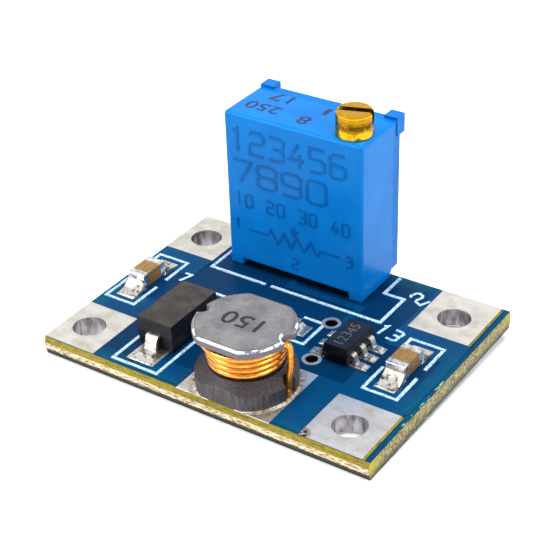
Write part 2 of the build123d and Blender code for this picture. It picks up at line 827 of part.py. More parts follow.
# Trimmer housing: a moulded box on two feet, open at the back
trimmer_xs = (trimmer_left, trimmer_right)
cavity_xs = (trimmer_left + trimmer_wall, trimmer_right - trimmer_wall)
housing_ys = (trimmer_front, cover_front)
screw_centre = (screw_x, screw_y)
pivot_bottom = cavity_bottom - pivot_depth

with BuildPart() as trimmer_housing:
    block(trimmer_xs, housing_ys, (trimmer_bottom, trimmer_top))
    front_face = trimmer_housing.faces().sort_by(Axis.Y)[0]
    top_side_edges = trimmer_housing.faces().sort_by(Axis.Z)[-1].edges().filter_by(Axis.Y)
    fillet(front_face.edges() + top_side_edges, radius=trimmer_edge_radius)
    with BuildSketch(Plane.XY.offset(trimmer_bottom + trimmer_edge_radius)) as feet:
        patch((trimmer_left, trimmer_left + foot_width), housing_ys)
        patch((trimmer_right - foot_width, trimmer_right), housing_ys)
    extrude(feet.sketch, amount=-foot_height - trimmer_edge_radius, taper=foot_draft)
    block(cavity_xs, (trimmer_front + trimmer_wall, cover_front), (cavity_bottom, cavity_top), Mode.SUBTRACT)
    bar(screw_centre, neck_radius + running_clearance, (cavity_top, trimmer_top), Mode.SUBTRACT)
    pivot_zs = (pivot_bottom - running_clearance, cavity_bottom)
    bar(screw_centre, pivot_radius + running_clearance, pivot_zs, Mode.SUBTRACT)
    for centre in pin_places:
        bar(centre, pin_radius, (trimmer_bottom, cavity_bottom), Mode.SUBTRACT)
keep(trimmer_housing.part, "trimmer_housing")

# Back cover: closes the box and carries an ear at each top corner
with BuildPart() as trimmer_back_cover:
    cover_xs = (trimmer_left + cover_inset, trimmer_right - cover_inset)
    cover_zs = (trimmer_bottom + cover_inset, trimmer_top - cover_inset)
    block(cover_xs, (cover_front, trimmer_back), cover_zs)
    ear_ys = (cover_front + cover_thickness / 2, trimmer_back + ear_reach)
    ear_zs = (trimmer_top - ear_height, trimmer_top + ear_rise)
    block((trimmer_left, trimmer_left + ear_width), ear_ys, ear_zs)
    block((trimmer_right - ear_width, trimmer_right), ear_ys, ear_zs)
keep(trimmer_back_cover.part, "trimmer_back_cover")

# Adjusting screw, turned from brass: slotted head, neck, collar, thread and pivot
head_bottom = trimmer_top + screw_head_gap
head_top = head_bottom + screw_head_height

with BuildPart() as trimmer_adjusting_screw:
    screw_plane = Plane(origin=(screw_x, screw_y, 0), x_dir=(1, 0, 0), z_dir=(0, -1, 0))
    with BuildSketch(screw_plane) as turned:
        with BuildLine():
            Polyline(
                (0, pivot_bottom),
                (pivot_radius, pivot_bottom),
                (pivot_radius, thread_bottom),
                (thread_radius, thread_bottom),
                (thread_radius, collar_bottom),
                (collar_radius, collar_bottom),
                (collar_radius, collar_top),
                (neck_radius, collar_top),
                (neck_radius, head_bottom),
                (screw_head_radius, head_bottom),
                (screw_head_radius, head_top - screw_head_bevel),
                (screw_head_radius - screw_head_bevel, head_top),
                (0, head_top),
                close=True,
            )
        make_face()
    revolve(turned.sketch, axis=Axis((screw_x, screw_y, 0), (0, 0, 1)))
    slot_direction = Vector(1, 0, 0).rotate(Axis.Z, slot_turn)
    slot_origin = (screw_x, screw_y, head_top - slot_depth)
    with BuildSketch(Plane(origin=slot_origin, x_dir=slot_direction, z_dir=(0, 0, 1))) as slot:
        Rectangle(3 * screw_head_radius, slot_width)
    extrude(slot.sketch, amount=slot_depth, mode=Mode.SUBTRACT)
keep(trimmer_adjusting_screw.part, "trimmer_adjusting_screw")

with BuildPart() as trimmer_seal_ring:
    with BuildSketch(screw_plane) as ring_section:
        with Locations((neck_radius + running_clearance + seal_section / 2, cavity_top - seal_section / 2)):
            Circle(seal_section / 2)
    revolve(ring_section.sketch, axis=Axis((screw_x, screw_y, 0), (0, 0, 1)))
keep(trimmer_seal_ring.part, "trimmer_seal_ring")

# Wiper carriage: a part nut that engages the screw from the left and from behind
carriage_zs = (carriage_middle - carriage_height / 2, carriage_middle + carriage_height / 2)

carriage_front = carriage_back - carriage_depth

with BuildPart() as trimmer_wiper_carriage:
    block((carriage_left, carriage_right), (carriage_front, carriage_back), carriage_zs)
    block((screw_x, carriage_right), (carriage_front, screw_y), carriage_zs, Mode.SUBTRACT)
    bar(screw_centre, thread_radius + running_clearance, carriage_zs, Mode.SUBTRACT)
keep(trimmer_wiper_carriage.part, "trimmer_wiper_carriage")

with BuildPart() as trimmer_wiper_contact:
    contact_middle = (carriage_left + carriage_right) / 2
    contact_xs = (contact_middle - contact_length / 2, contact_middle + contact_length / 2)
    contact_ys = (carriage_back, carriage_back + contact_thickness)
    contact_zs = (carriage_middle - contact_height / 2, carriage_middle + contact_height / 2)
    block(contact_xs, contact_ys, contact_zs)
    dimple_plane = Plane(origin=(0, contact_ys[1], carriage_middle), x_dir=(1, 0, 0), z_dir=(0, 1, 0))
    with BuildSketch(dimple_plane) as dimples:
        with Locations([(x, 0) for x in dimple_xs]):
            Circle(contact_dimple_radius)
    extrude(dimples.sketch, amount=contact_dimple_height, taper=contact_dimple_draft)
keep(trimmer_wiper_contact.part, "trimmer_wiper_contact")

# Element: ceramic plate against the back cover, with two printed tracks
with BuildPart() as trimmer_element_plate:
    element_xs = (trimmer_middle - element_width / 2, trimmer_middle + element_width / 2)
    block(element_xs, (element_front, cover_front), (cavity_bottom, cavity_bottom + element_height))
keep(trimmer_element_plate.part, "trimmer_element_plate")

track_ys = (element_front - track_thickness, element_front)
track_zs = (carriage_middle - track_height / 2, carriage_middle + track_height / 2)
track_names = ["trimmer_resistive_track", "trimmer_collector_track"]
for name, x in zip(track_names, dimple_xs):
    with BuildPart() as track:
        block((x - track_width / 2, x + track_width / 2), track_ys, track_zs)
    keep(track.part, name)

# Pins: straight through the floor and the board, bent back inside to meet the element
with BuildPart() as trimmer_pins:
    for x in pin_xs:
        with BuildLine() as pin_path:
            FilletPolyline(
                (x, pin_y, -pin_length_below),
                (x, pin_y, cavity_bottom + pin_bend),
                (x, element_front, cavity_bottom + pin_bend),
                radius=pin_bend,
            )
        with BuildSketch(Plane(origin=(x, pin_y, -pin_length_below))) as pin_section:
            Circle(pin_radius)
        sweep(pin_section.sketch, path=pin_path.line)
keep(trimmer_pins.part, "trimmer_pins")

cone_radius = pin_ring_radius - barrel_wall

with BuildPart() as trimmer_solder:
    for x in pin_xs:
        with BuildSketch(Plane(origin=(x, pin_y, 0), x_dir=(1, 0, 0), z_dir=(0, -1, 0))) as joint:
            with BuildLine():
                Polyline(
                    (pin_radius, -solder_cone_height),
                    (pin_radius, land_surface),
                    (pin_hole_radius, land_surface),
                    (pin_hole_radius, land_underside),
                    (cone_radius, land_underside),
                )
                ThreePointArc(
                    (cone_radius, land_underside),
                    (pin_hole_radius, -solder_cone_waist),
                    (pin_radius, -solder_cone_height),
                )
            make_face()
        revolve(joint.sketch, axis=Axis((x, pin_y, 0), (0, 0, 1)))
keep(trimmer_solder.part, "trimmer_solder")
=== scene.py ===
# Small adjustable step-up converter board: looks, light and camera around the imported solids
import functools
import math
import random

import bmesh
import bpy
from mathutils import Matrix, Vector, noise


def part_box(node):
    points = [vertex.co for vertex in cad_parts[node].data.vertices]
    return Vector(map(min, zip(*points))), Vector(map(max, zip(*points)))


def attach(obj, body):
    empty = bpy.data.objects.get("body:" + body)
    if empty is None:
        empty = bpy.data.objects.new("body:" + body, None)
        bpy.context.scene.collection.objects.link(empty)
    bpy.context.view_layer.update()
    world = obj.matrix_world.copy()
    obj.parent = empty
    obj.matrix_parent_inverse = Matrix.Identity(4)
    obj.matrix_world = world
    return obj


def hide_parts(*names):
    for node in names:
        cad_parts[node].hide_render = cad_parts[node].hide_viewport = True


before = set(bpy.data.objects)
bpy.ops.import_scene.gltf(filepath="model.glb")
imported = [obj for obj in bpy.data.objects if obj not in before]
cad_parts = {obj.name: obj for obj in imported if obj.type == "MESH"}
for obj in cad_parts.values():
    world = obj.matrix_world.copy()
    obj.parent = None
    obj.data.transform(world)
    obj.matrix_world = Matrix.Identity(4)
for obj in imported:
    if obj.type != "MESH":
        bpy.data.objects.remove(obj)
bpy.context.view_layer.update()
mm = 0.001  # sizes below are in millimetres
dice = random.Random(7)
print("solids loaded:", len(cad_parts))


# Where a solid lies: its lowest and its highest corner
def boxOf(nodeName):
    return [[round(value / mm, 4) for value in corner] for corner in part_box(nodeName)]


def middleOf(nodeName):
    low, high = boxOf(nodeName)
    return [round((a + b) / 2, 3) for a, b in zip(low, high)]


boardLow, boardHigh = boxOf("board_laminate")
copperTop = boxOf("copper_top")[1][2]
landTop = boxOf("component_lands")[1][2] + 0.001  # the scene's solder starts just clear of the lands
inductorMiddle = (*middleOf("inductor_core")[:2], copperTop)


# Colour is written as sRGB hex and used as linear
def toLinear(hexColour):
    channels = [int(hexColour[i : i + 2], 16) / 255 for i in (1, 3, 5)]
    return [c / 12.92 if c <= 0.04045 else ((c + 0.055) / 1.055) ** 2.4 for c in channels] + [1.0]


usual = {  # how these nodes are set unless a line says otherwise: maths multiplies and mixes are of colours
    "Math": {"operation": "MULTIPLY"}, "VectorMath": {"operation": "MULTIPLY"}, "Mix": {"data_type": "RGBA"},
}


# Adds one shader node and gives back its result. Inputs are values, hex colours or sockets to link, by name or
# in the order that the node shows them. A ramp is a rising list of places and colours, settings are properties
def addNode(tree, kind, inputs=(), ramp=(), result=None, **settings):
    node = tree.nodes.new("ShaderNode" + kind)
    for name, value in {**usual.get(kind, {}), **settings}.items():
        setattr(node, name, value)
    if isinstance(inputs, dict):
        pairs = [(node.inputs[name], value) for name, value in inputs.items()]
    else:
        pairs = zip([socket for socket in node.inputs if socket.enabled], inputs)
    for socket, value in pairs:
        if isinstance(value, bpy.types.NodeSocket):
            tree.links.new(value, socket)
        else:
            socket.default_value = toLinear(value) if isinstance(value, str) else value
    for i, (place, colour) in enumerate(ramp):
        stops = node.color_ramp.elements
        stop = stops[i] if i < 2 else stops.new(place)
        stop.position = place
        stop.color = toLinear(colour)
    if result:
        return node.outputs[result]
    return next((socket for socket in node.outputs if socket.enabled), None)


# Gives the material, addNode for its tree, the place on the piece in millimetres and the material's grains.
# A grain is noise of a real size with values round 0.5: its width in millimetres, its detail and, where it is
# drawn out, its stretch
def startMaterial(name, grains):
    material = bpy.data.materials.new(name)
    material.use_nodes = True
    material.node_tree.nodes.clear()
    add = functools.partial(addNode, material.node_tree)
    metres = add("TexCoord", result="Object")
    place = add("VectorMath", (metres, 1 / mm), operation="SCALE")
    made = {}
    for key, (width, detail, *stretch) in grains.items():
        drawn = add("VectorMath", (place, stretch[0])) if stretch else place
        made[key] = add("TexNoise", {"Vector": drawn, "Scale": 1 / width, "Detail": detail, "Roughness": 0.6})
    return material, add, place, made


def endMaterial(add, look, height, depth):
    bump = add("Bump", {"Height": height, "Distance": depth * mm})
    surface = add("BsdfPrincipled", {**look, "Normal": bump})
    add("OutputMaterial", {"Surface": surface})


# Glass and epoxy laminate: olive resin on the scored slopes, speckled where the short edges were routed
def makeLaminate():
    look = {
        "resin": "#7d6d04", "resinPale": "#9d8d22", "resinDark": "#3a2a0e", "glass": "#d9d0b6",
        "routed": "#7a7238", "routedDark": "#454120", "routedPale": "#ada377", "corner": "#a89a14",
        # foot is the colour of the painted shade along the bottom of the board's edges
        "foot": "#0f0b05",
        "scoreTop": 0.8, "scoreBottom": 0.44, "scoreBlur": 0.03, "scoredFoot": (0.48, 0.42),
        "routedFoot": (0.62, 0.05), "cutDepth": 0.012,
        "frontCorner": (1.6, 0.3), "backCorner": (1.4, 0.2),  # fresher resin fades in over these distances
    }
    material, add, place, grain = startMaterial("glass epoxy laminate", {
        "glassBundle": (0.18, 4.0, (0.5, 0.5, 2.0)), "fleck": (0.07, 3.0),
        "routed": (0.16, 5.0, (1.0, 1.0, 0.8)),
    })
    x, y, height = (add("SeparateXYZ", (place,), result=axis) for axis in "XYZ")
    resin = add("ValToRGB", (grain["glassBundle"],), [
        (0.28, look["resinDark"]), (0.44, look["resin"]), (0.72, look["resinPale"]),
    ])
    # between the two scores the snapped web shows its glass
    bottom, top, blur = look["scoreBottom"], look["scoreTop"], look["scoreBlur"]
    isWeb = add("Math", (
        add("MapRange", (height, bottom - blur, bottom + blur)),
        add("MapRange", (height, top + blur, top - blur)),
    ))
    clean = add("MapRange", (grain["fleck"], 0.42, 0.55, 0.35, 1.0))
    glassShows = add("Math", (isWeb, clean))
    colour = add("Mix", (glassShows, resin, look["glass"]))
    # painted shade: the scored edges darken towards their foot
    footShade = add("MapRange", (height, *look["scoredFoot"], 0.0, 0.92))
    colour = add("Mix", (footShade, colour, look["foot"]))
    # the routed ends: mixed specks, painted shade along the foot, fresher resin at the corners
    routed = add("ValToRGB", (grain["routed"],), [
        (0.38, look["routedDark"]), (0.5, look["routed"]), (0.62, look["routedPale"]),
    ])
    atCorner = add("Math", (
        add("MapRange", (y, *(boardLow[1] + reach for reach in look["frontCorner"]), 0.0, 0.75)),
        add("MapRange", (y, *(boardHigh[1] - reach for reach in look["backCorner"]), 0.0, 0.75)),
    ), operation="MAXIMUM")
    routed = add("Mix", (atCorner, routed, look["corner"]))
    footShade = add("MapRange", (height, *look["routedFoot"], 0.0, 0.92))
    routed = add("Mix", (footShade, routed, look["foot"]))
    atEnd = add("Math", (
        add("MapRange", (x, boardHigh[0] - look["cutDepth"], boardHigh[0] - look["cutDepth"] / 2)),
        add("MapRange", (x, boardLow[0] + look["cutDepth"], boardLow[0] + look["cutDepth"] / 2)),
    ), operation="MAXIMUM")
    endMaterial(add, {
        "Base Color": add("Mix", (atEnd, colour, routed)), "IOR": 1.55,
        "Specular IOR Level": 0.3, "Roughness": add("MapRange", (grain["fleck"], 0.3, 0.7, 0.4, 0.75)),
    }, grain["glassBundle"], 0.03)
    return material


# Blue solder mask, screened and cured epoxy: deep, glossy, lighter where copper lies under it
def makeMask():
    look = {
        "overLaminate": "#022c50", "overCopper": "#033b64", "thinAtEdge": "#065468", "chipped": "#8fa98c",
        "shadeUnderTrimmer": "#01121f", "copperLevel": (1.2, 1.222),
        "edgeFade": ((9.6, 11.0), (6.9, 8.25)),  # from the board's middle, along X and Y
        "chippedEdge": (0.18, 0.1), "chippedFrom": (-5.2, -4.2), "chippedTo": (1.0, 0.0),
        # where the painted shade under the trimmer lies: its middle, and its reach along X and Y
        "shadeMiddle": (-1.25, 7.0, 0.0), "fluxAndShadeReach": ((4.9, 4.5), (2.7, 2.3)), "topSide": (1.0, 1.1),
    }
    material, add, place, grain = startMaterial("blue epoxy solder mask", {
        "cloud": (2.6, 2.0), "orangePeel": (0.22, 2.0), "flake": (0.22, 2.0, (1.0, 0.4, 1.0)),
    })
    x, y, height = (add("SeparateXYZ", (place,), result=axis) for axis in "XYZ")
    overCopper = add("MapRange", (height, *look["copperLevel"]))
    colour = add("Mix", (overCopper, look["overLaminate"], look["overCopper"]))

    # how far a place lies from a middle, faded along X and along Y
    def fadesRound(middle, fades):
        away = add("VectorMath", (place, middle), operation="SUBTRACT")
        away = add("VectorMath", (away,), operation="ABSOLUTE")
        along = [add("SeparateXYZ", (away,), result=axis) for axis in "XY"]
        return [add("MapRange", (distance, *fade)) for distance, fade in zip(along, fades)]

    # thinner and greener along the board's edges
    boardMiddle = (*middleOf("board_laminate")[:2], 0.0)
    atEdge = add("Math", fadesRound(boardMiddle, look["edgeFade"]), operation="MAXIMUM")
    thin = add("Math", (atEdge, add("MapRange", (grain["cloud"], 0.3, 0.7, 0.2, 0.8))))
    colour = add("Mix", (thin, colour, look["thinAtEdge"]))
    # flaked off in places along the right edge
    chipped = add("MapRange", (grain["flake"], 0.58, 0.62))
    chippedEdge = [boardHigh[0] - reach for reach in look["chippedEdge"]]
    for along, fade in ((x, chippedEdge), (y, look["chippedFrom"]), (y, look["chippedTo"])):
        chipped = add("Math", (chipped, add("MapRange", (along, *fade))))
    colour = add("Mix", (chipped, colour, look["chipped"]))
    # painted shade under the trimmer: the mask is made nearly black there
    under = add("MapRange", (height, *look["topSide"], 0.0, 0.9))
    for within in fadesRound(look["shadeMiddle"], look["fluxAndShadeReach"]):
        under = add("Math", (under, within))
    endMaterial(add, {
        "Base Color": add("Mix", (under, colour, look["shadeUnderTrimmer"])), "IOR": 1.5,
        "Specular IOR Level": 0.05, "Roughness": add("MapRange", (grain["cloud"], 0.3, 0.7, 0.18, 0.32)),
    }, grain["orangePeel"], 0.003)
    return material


# Tin over copper, dipped and levelled with hot air: warm pale metal, dull and dark down the holes as painted
# shade
def makeLevelledTin(name, fluxed=False, wallDark="#56535a", wallPale="#b6b3b6"):
    look = {
        "bright": "#e2dfd8", "dull": "#c4beb4", "pitted": "#a49c90", "flux": "#8a6a3c", "burnt": "#3d2a12",
        "fluxAndShadeReach": (3.5, 2.9), "burntAt": (7.1, -7.8, 1.2), "burntReach": (0.62, 0.3),
    }
    grains = {
        "sweep": (0.9, 5.0, (0.8, 1.1, 1.0)), "pit": (0.12, 3.0), "scorch": (0.16, 3.0),
        "streak": (0.5, 3.0, (1.0, 1.0, 0.3)),
    }
    if fluxed:
        grains["stain"] = (0.3, 5.0)
    material, add, place, grain = startMaterial(name, grains)
    colour = add("ValToRGB", (grain["sweep"],), [(0.3, look["dull"]), (0.6, look["bright"])])
    pitted = add("MapRange", (grain["pit"], 0.36, 0.28, 0.0, 0.5))
    colour = add("Mix", (pitted, colour, look["pitted"]))
    if fluxed:
        fromCore = add("VectorMath", (place, inductorMiddle), operation="DISTANCE")
        stained = add("Math", (
            add("MapRange", (fromCore, *look["fluxAndShadeReach"])), add("MapRange", (grain["stain"], 0.4, 0.58)),
        ))
        colour = add("Mix", (stained, colour, look["flux"]))
    # scorched where the iron touched the front right pad's corner
    fromBurn = add("VectorMath", (place, look["burntAt"]), operation="DISTANCE")
    scorched = add("Math", (
        add("MapRange", (fromBurn, *look["burntReach"])), add("MapRange", (grain["scorch"], 0.42, 0.55)),
    ))
    colour = add("Mix", (scorched, colour, look["burnt"]))
    # the hole walls, streaked where the tin drained and darkened as painted shade
    wall = add("ValToRGB", (grain["streak"],), [(0.36, wallDark), (0.6, wallPale)])
    height = add("SeparateXYZ", (place,), result="Z")
    inHole = add("Math", (
        add("MapRange", (height, copperTop, copperTop - 0.08)), add("MapRange", (height, 0.0, 0.06)),
    ))
    endMaterial(add, {
        "Base Color": add("Mix", (inHole, colour, wall)), "Metallic": 0.85,
        "Roughness": add("MapRange", (grain["sweep"], 0.3, 0.7, 0.42, 0.3)),
    }, add("Math", (grain["sweep"], grain["pit"]), operation="ADD"), 0.006)
    return material


# Ferrite, pressed and sintered: grey and speckled on top, a painted highlight on its bevel, painted shade at
# the foot
def makeFerrite():
    look = {
        # foot and rim are colours of painted shade
        "top": "#777575", "topDark": "#57545a", "side": "#5c5a66", "foot": "#2b2126", "rim": "#181b25",
        # the bevel colour is a painted highlight
        "bevelHighlight": "#ecebf0", "bevelDull": "#68666d", "line": "#28262b", "speck": "#d8d5d2", "pit": "#232024",
        "streak": "#5b5156", "shadePatch": "#33272b",
        # heights over which one look gives way to the next
        "topLevel": (5.2, 5.215), "bevelLow": (5.085, 5.1), "bevelHigh": (5.219, 5.205),
        "footLevel": (3.0, 2.9), "rimLevel": (2.26, 2.2), "frontFlat": (-7.94, -8.02),
        # the dark line inside the top's edge, as a share of the way out to the rim
        "linePlace": 0.93, "lineWidth": (0.014, 0.004), "topReach": 2.9, "flatReach": 2.6,
    }
    material, add, place, grain = startMaterial("sintered ferrite", {
        "grit": (0.085, 4.0), "cloud": (1.1, 5.0), "ground": (0.7, 3.0), "streak": (0.12, 2.0, (1.0, 1.0, 0.1)),
        "shadePatch": (0.3, 4.0),
    })
    y, height = (add("SeparateXYZ", (place,), result=axis) for axis in "YZ")
    top = add("ValToRGB", (grain["cloud"],), [(0.3, look["topDark"]), (0.6, look["top"])])
    isTop = add("MapRange", (height, *look["topLevel"]))
    colour = add("Mix", (isTop, look["side"], top))
    # painted shade: the foot under the winding is made dark, and its lowest rim darker still
    isRim = add("MapRange", (height, *look["rimLevel"]))
    foot = add("Mix", (isRim, look["foot"], look["rim"]))
    isFoot = add("MapRange", (height, *look["footLevel"]))
    colour = add("Mix", (isFoot, colour, foot))
    # painted shade: a thin dark line runs inside the edge of the top
    coreTop = (*inductorMiddle[:2], boxOf("inductor_core")[1][2])
    fromAxis = add("VectorMath", (place, coreTop), operation="SUBTRACT")
    outward = add("Math", (add("VectorMath", (fromAxis,), operation="LENGTH"), 1 / look["topReach"]))
    towardFlat = add("Math", (add("SeparateXYZ", (fromAxis,), result="Y"),), operation="ABSOLUTE")
    towardFlat = add("Math", (towardFlat, 1 / look["flatReach"]))
    reach = add("Math", (outward, towardFlat), operation="MAXIMUM")
    fromLine = add("Math", (reach, look["linePlace"]), operation="SUBTRACT")
    fromLine = add("Math", (fromLine,), operation="ABSOLUTE")
    line = add("Math", (add("MapRange", (fromLine, *look["lineWidth"], 0.0, 0.55)), isTop))
    colour = add("Mix", (line, colour, look["line"]))
    # painted highlight: the bevel is made bright along the front flat and in patches elsewhere
    onBevel = add("Math", (
        add("MapRange", (height, *look["bevelLow"])), add("MapRange", (height, *look["bevelHigh"])),
    ))
    bright = add("Math", (
        add("MapRange", (grain["ground"], 0.52, 0.6)), add("MapRange", (y, *look["frontFlat"])),
    ), operation="MAXIMUM")
    ground = add("Mix", (bright, look["bevelDull"], look["bevelHighlight"]))
    colour = add("Mix", (onBevel, colour, ground))
    # pressed streaks and patches of deeper painted shade on the foot, pale specks and dark pits all over
    streaks = add("Math", (isFoot, add("MapRange", (grain["streak"], 0.5, 0.66, 0.0, 0.5))))
    specks = add("MapRange", (grain["grit"], 0.64, 0.74, 0.0, 0.45))
    pits = add("MapRange", (grain["grit"], 0.42, 0.3, 0.0, 0.6))
    shadePatch = add("Math", (isFoot, add("MapRange", (grain["shadePatch"], 0.35, 0.65, 0.0, 0.5))))
    for amount, tone in ((streaks, "streak"), (specks, "speck"), (pits, "pit"), (shadePatch, "shadePatch")):
        colour = add("Mix", (amount, colour, look[tone]))
    endMaterial(add, {
        "Base Color": colour, "IOR": 1.6, "Specular IOR Level": 0.35,
        "Roughness": add("MapRange", (grain["cloud"], 0.3, 0.7, 0.5, 0.36)),
    }, grain["grit"], 0.02)
    return material


# Epoxy moulding compound, transfer moulded: fine sanded grain, slightly waxy
def makeMoulding(nodeName, name, dark, pale, side, roughness):
    material, add, place, grain = startMaterial(name, {"sanding": (0.05, 2.0), "cloud": (0.8, 3.0)})
    colour = add("ValToRGB", (grain["cloud"],), [(0.3, dark), (0.7, pale)])
    # painted light: the top is drawn lighter, as lit from above, and the sides darker, as painted shade
    topHeight = boxOf(nodeName)[1][2]
    height = add("SeparateXYZ", (place,), result="Z")
    isTop = add("MapRange", (height, topHeight - 0.06, topHeight - 0.01))
    colour = add("Mix", (isTop, side, colour))
    dust = add("MapRange", (grain["sanding"], 0.68, 0.76, 0.0, 0.35))
    endMaterial(add, {
        "Base Color": add("Mix", (dust, colour, "#8d8a88")), "IOR": 1.55,
        "Specular IOR Level": 0.25, "Roughness": roughness,
    }, grain["sanding"], 0.008)
    return material


# Glass filled thermoplastic of the trimmer, injection moulded: bright blue, soft sheen, fine grain
def makeTrimmerPlastic(name, deep, bright, gloss):
    material, add, _, grain = startMaterial(name, {"flow": (2.4, 3.0), "fine": (0.14, 2.0)})
    endMaterial(add, {
        "Base Color": add("ValToRGB", (grain["flow"],), [(0.3, deep), (0.7, bright)]), "IOR": 1.55,
        "Specular IOR Level": gloss, "Roughness": add("MapRange", (grain["flow"], 0.3, 0.7, 0.2, 0.27)),
    }, grain["fine"], 0.002)
    return material


# Free cutting brass, turned: golden, with faint tool rings, painted highlights at the foot and rim, and a
# grainy darker band half way up
def makeBrass():
    look = {
        "bright": "#bf8c16", "deep": "#8a650d", "darkBand": "#382709", "polished": "#dba820",
        "lobes": 3.0, "lobeTop": (11.84, 12.16), "rim": (12.95, 13.0),
        "bandFoot": (12.1, 12.35), "bandTop": (12.85, 12.5),
    }
    material, add, place, grain = startMaterial("turned brass", {
        "toolRing": (0.1, 1.0, (0.15, 0.15, 1.0)), "patch": (0.3, 4.0),
    })
    colour = add("ValToRGB", (grain["toolRing"],), [(0.3, look["deep"]), (0.66, look["bright"])])
    # painted highlights: two bright lobes at the foot and a bright rim
    screwAxis = (*middleOf("trimmer_adjusting_screw")[:2], 0.0)
    fromAxis = add("VectorMath", (place, screwAxis), operation="SUBTRACT")
    angle = add("Math", [add("SeparateXYZ", (fromAxis,), result=axis) for axis in "YX"], operation="ARCTAN2")
    lobes = add("Math", (angle, look["lobes"]))
    lobes = add("Math", (add("Math", (lobes,), operation="SINE"),), operation="ABSOLUTE")
    lobeTop = add("MapRange", (lobes, 0.0, 0.6, *look["lobeTop"]))
    height = add("SeparateXYZ", (place,), result="Z")
    overLobe = add("Math", (height, lobeTop), operation="SUBTRACT")
    polished = add("Math", (
        add("MapRange", (overLobe, 0.04, -0.04, 0.0, 0.8)), add("MapRange", (height, *look["rim"], 0.0, 0.8)),
    ), operation="MAXIMUM")
    colour = add("Mix", (polished, colour, look["polished"]))
    # a grainy darker band half way up the head
    darkenedBand = add("MapRange", (grain["patch"], 0.34, 0.5, 0.0, 0.85))
    for limit in (look["bandFoot"], look["bandTop"]):
        darkenedBand = add("Math", (darkenedBand, add("MapRange", (height, *limit))))
    endMaterial(add, {
        "Base Color": add("Mix", (darkenedBand, colour, look["darkBand"])), "Metallic": 1.0,
        "Roughness": add("MapRange", (grain["patch"], 0.3, 0.7, 0.3, 0.2)),
    }, grain["toolRing"], 0.004)
    return material


# A finish of one grain: colours run from its hollows to its tops, relief is its height in millimetres
def makeGrained(look):
    material, add, _, grain = startMaterial(look["name"], {"only": look["grain"]})
    surface = {"Base Color": add("ValToRGB", (grain["only"],), look["colours"]), **look["surface"]}
    if "polish" in look:  # roughness in the hollows and on the tops
        surface["Roughness"] = add("MapRange", (grain["only"], 0.3, 0.7, *look["polish"]))
    endMaterial(add, surface, grain["only"], look["relief"])
    return material


grained = {
    "tornGlass": {  # cloth left standing where the score was snapped: cream glass with brown resin between
        "name": "torn glass cloth", "grain": (0.12, 4.0, (0.35, 0.35, 2.5)), "relief": 0.04,
        "colours": [(0.36, "#5b3d1c"), (0.45, "#a98e54"), (0.53, "#ddd3b4"), (0.66, "#f0e9d6")],
        "surface": {"IOR": 1.52, "Roughness": 0.75},
    },
    "ink": {  # marking ink, screen printed: chalky, with the mask showing through thin specks
        "name": "white screen printed ink", "grain": (0.16, 3.0), "relief": 0.008,
        "colours": [(0.34, "#4f86bb"), (0.5, "#b4d0ea")],
        "surface": {"IOR": 1.5, "Specular IOR Level": 0.3, "Roughness": 0.55},
    },
    "foil": {  # copper, rolled and etched: brown pink, seen only at its cut sides
        "name": "etched copper foil", "grain": (0.3, 3.0), "relief": 0.003,
        "colours": [(0.3, "#8e5a34"), (0.7, "#c9885a")],
        "surface": {"Metallic": 1.0, "Roughness": 0.4},
    },
    "wire": {  # copper, drawn and enamelled: golden orange under a clear coat
        "name": "enamelled copper wire", "grain": (0.25, 3.0), "relief": 0.002,
        "colours": [(0.25, "#b8690f"), (0.6, "#dc932a")], "polish": (0.3, 0.2),
        "surface": {"Metallic": 0.9, "Coat Weight": 0.5, "Coat Roughness": 0.08},
    },
    "solder": {  # tin alloy, melted and set with its flux: rounded bright metal, brown resin in the hollows
        "name": "set solder with flux", "grain": (0.32, 4.0), "relief": 0.03,
        "colours": [(0.34, "#3d2f18"), (0.42, "#93886f"), (0.49, "#dad6ce")], "polish": (0.4, 0.16),
        "surface": {"Metallic": 0.95},
    },
    "lead": {  # copper alloy, stamped, bent and tinned: satin, brown where flux dried on it
        "name": "tinned lead alloy", "grain": (0.4, 4.0), "relief": 0.01,
        "colours": [(0.3, "#7d6a4e"), (0.46, "#dedad2")],
        "surface": {"Metallic": 0.95, "Roughness": 0.28},
    },
    "capacitor": {  # titanate ceramic, fired in layers: tan with faint bands
        "name": "fired titanate ceramic", "grain": (0.12, 2.0, (1.0, 1.0, 3.0)), "relief": 0.004,
        "colours": [(0.3, "#684a1c"), (0.7, "#8f6f36")],
        "surface": {"IOR": 1.7, "Specular IOR Level": 0.4, "Roughness": 0.35},
    },
    "platedEnd": {  # silver, dipped and plated with tin: white with rounded dull patches
        "name": "dipped and plated ends", "grain": (0.3, 3.0), "relief": 0.012,
        "colours": [(0.3, "#a19c96"), (0.6, "#f1eee9")],
        "surface": {"Metallic": 0.9, "Roughness": 0.27},
    },
}
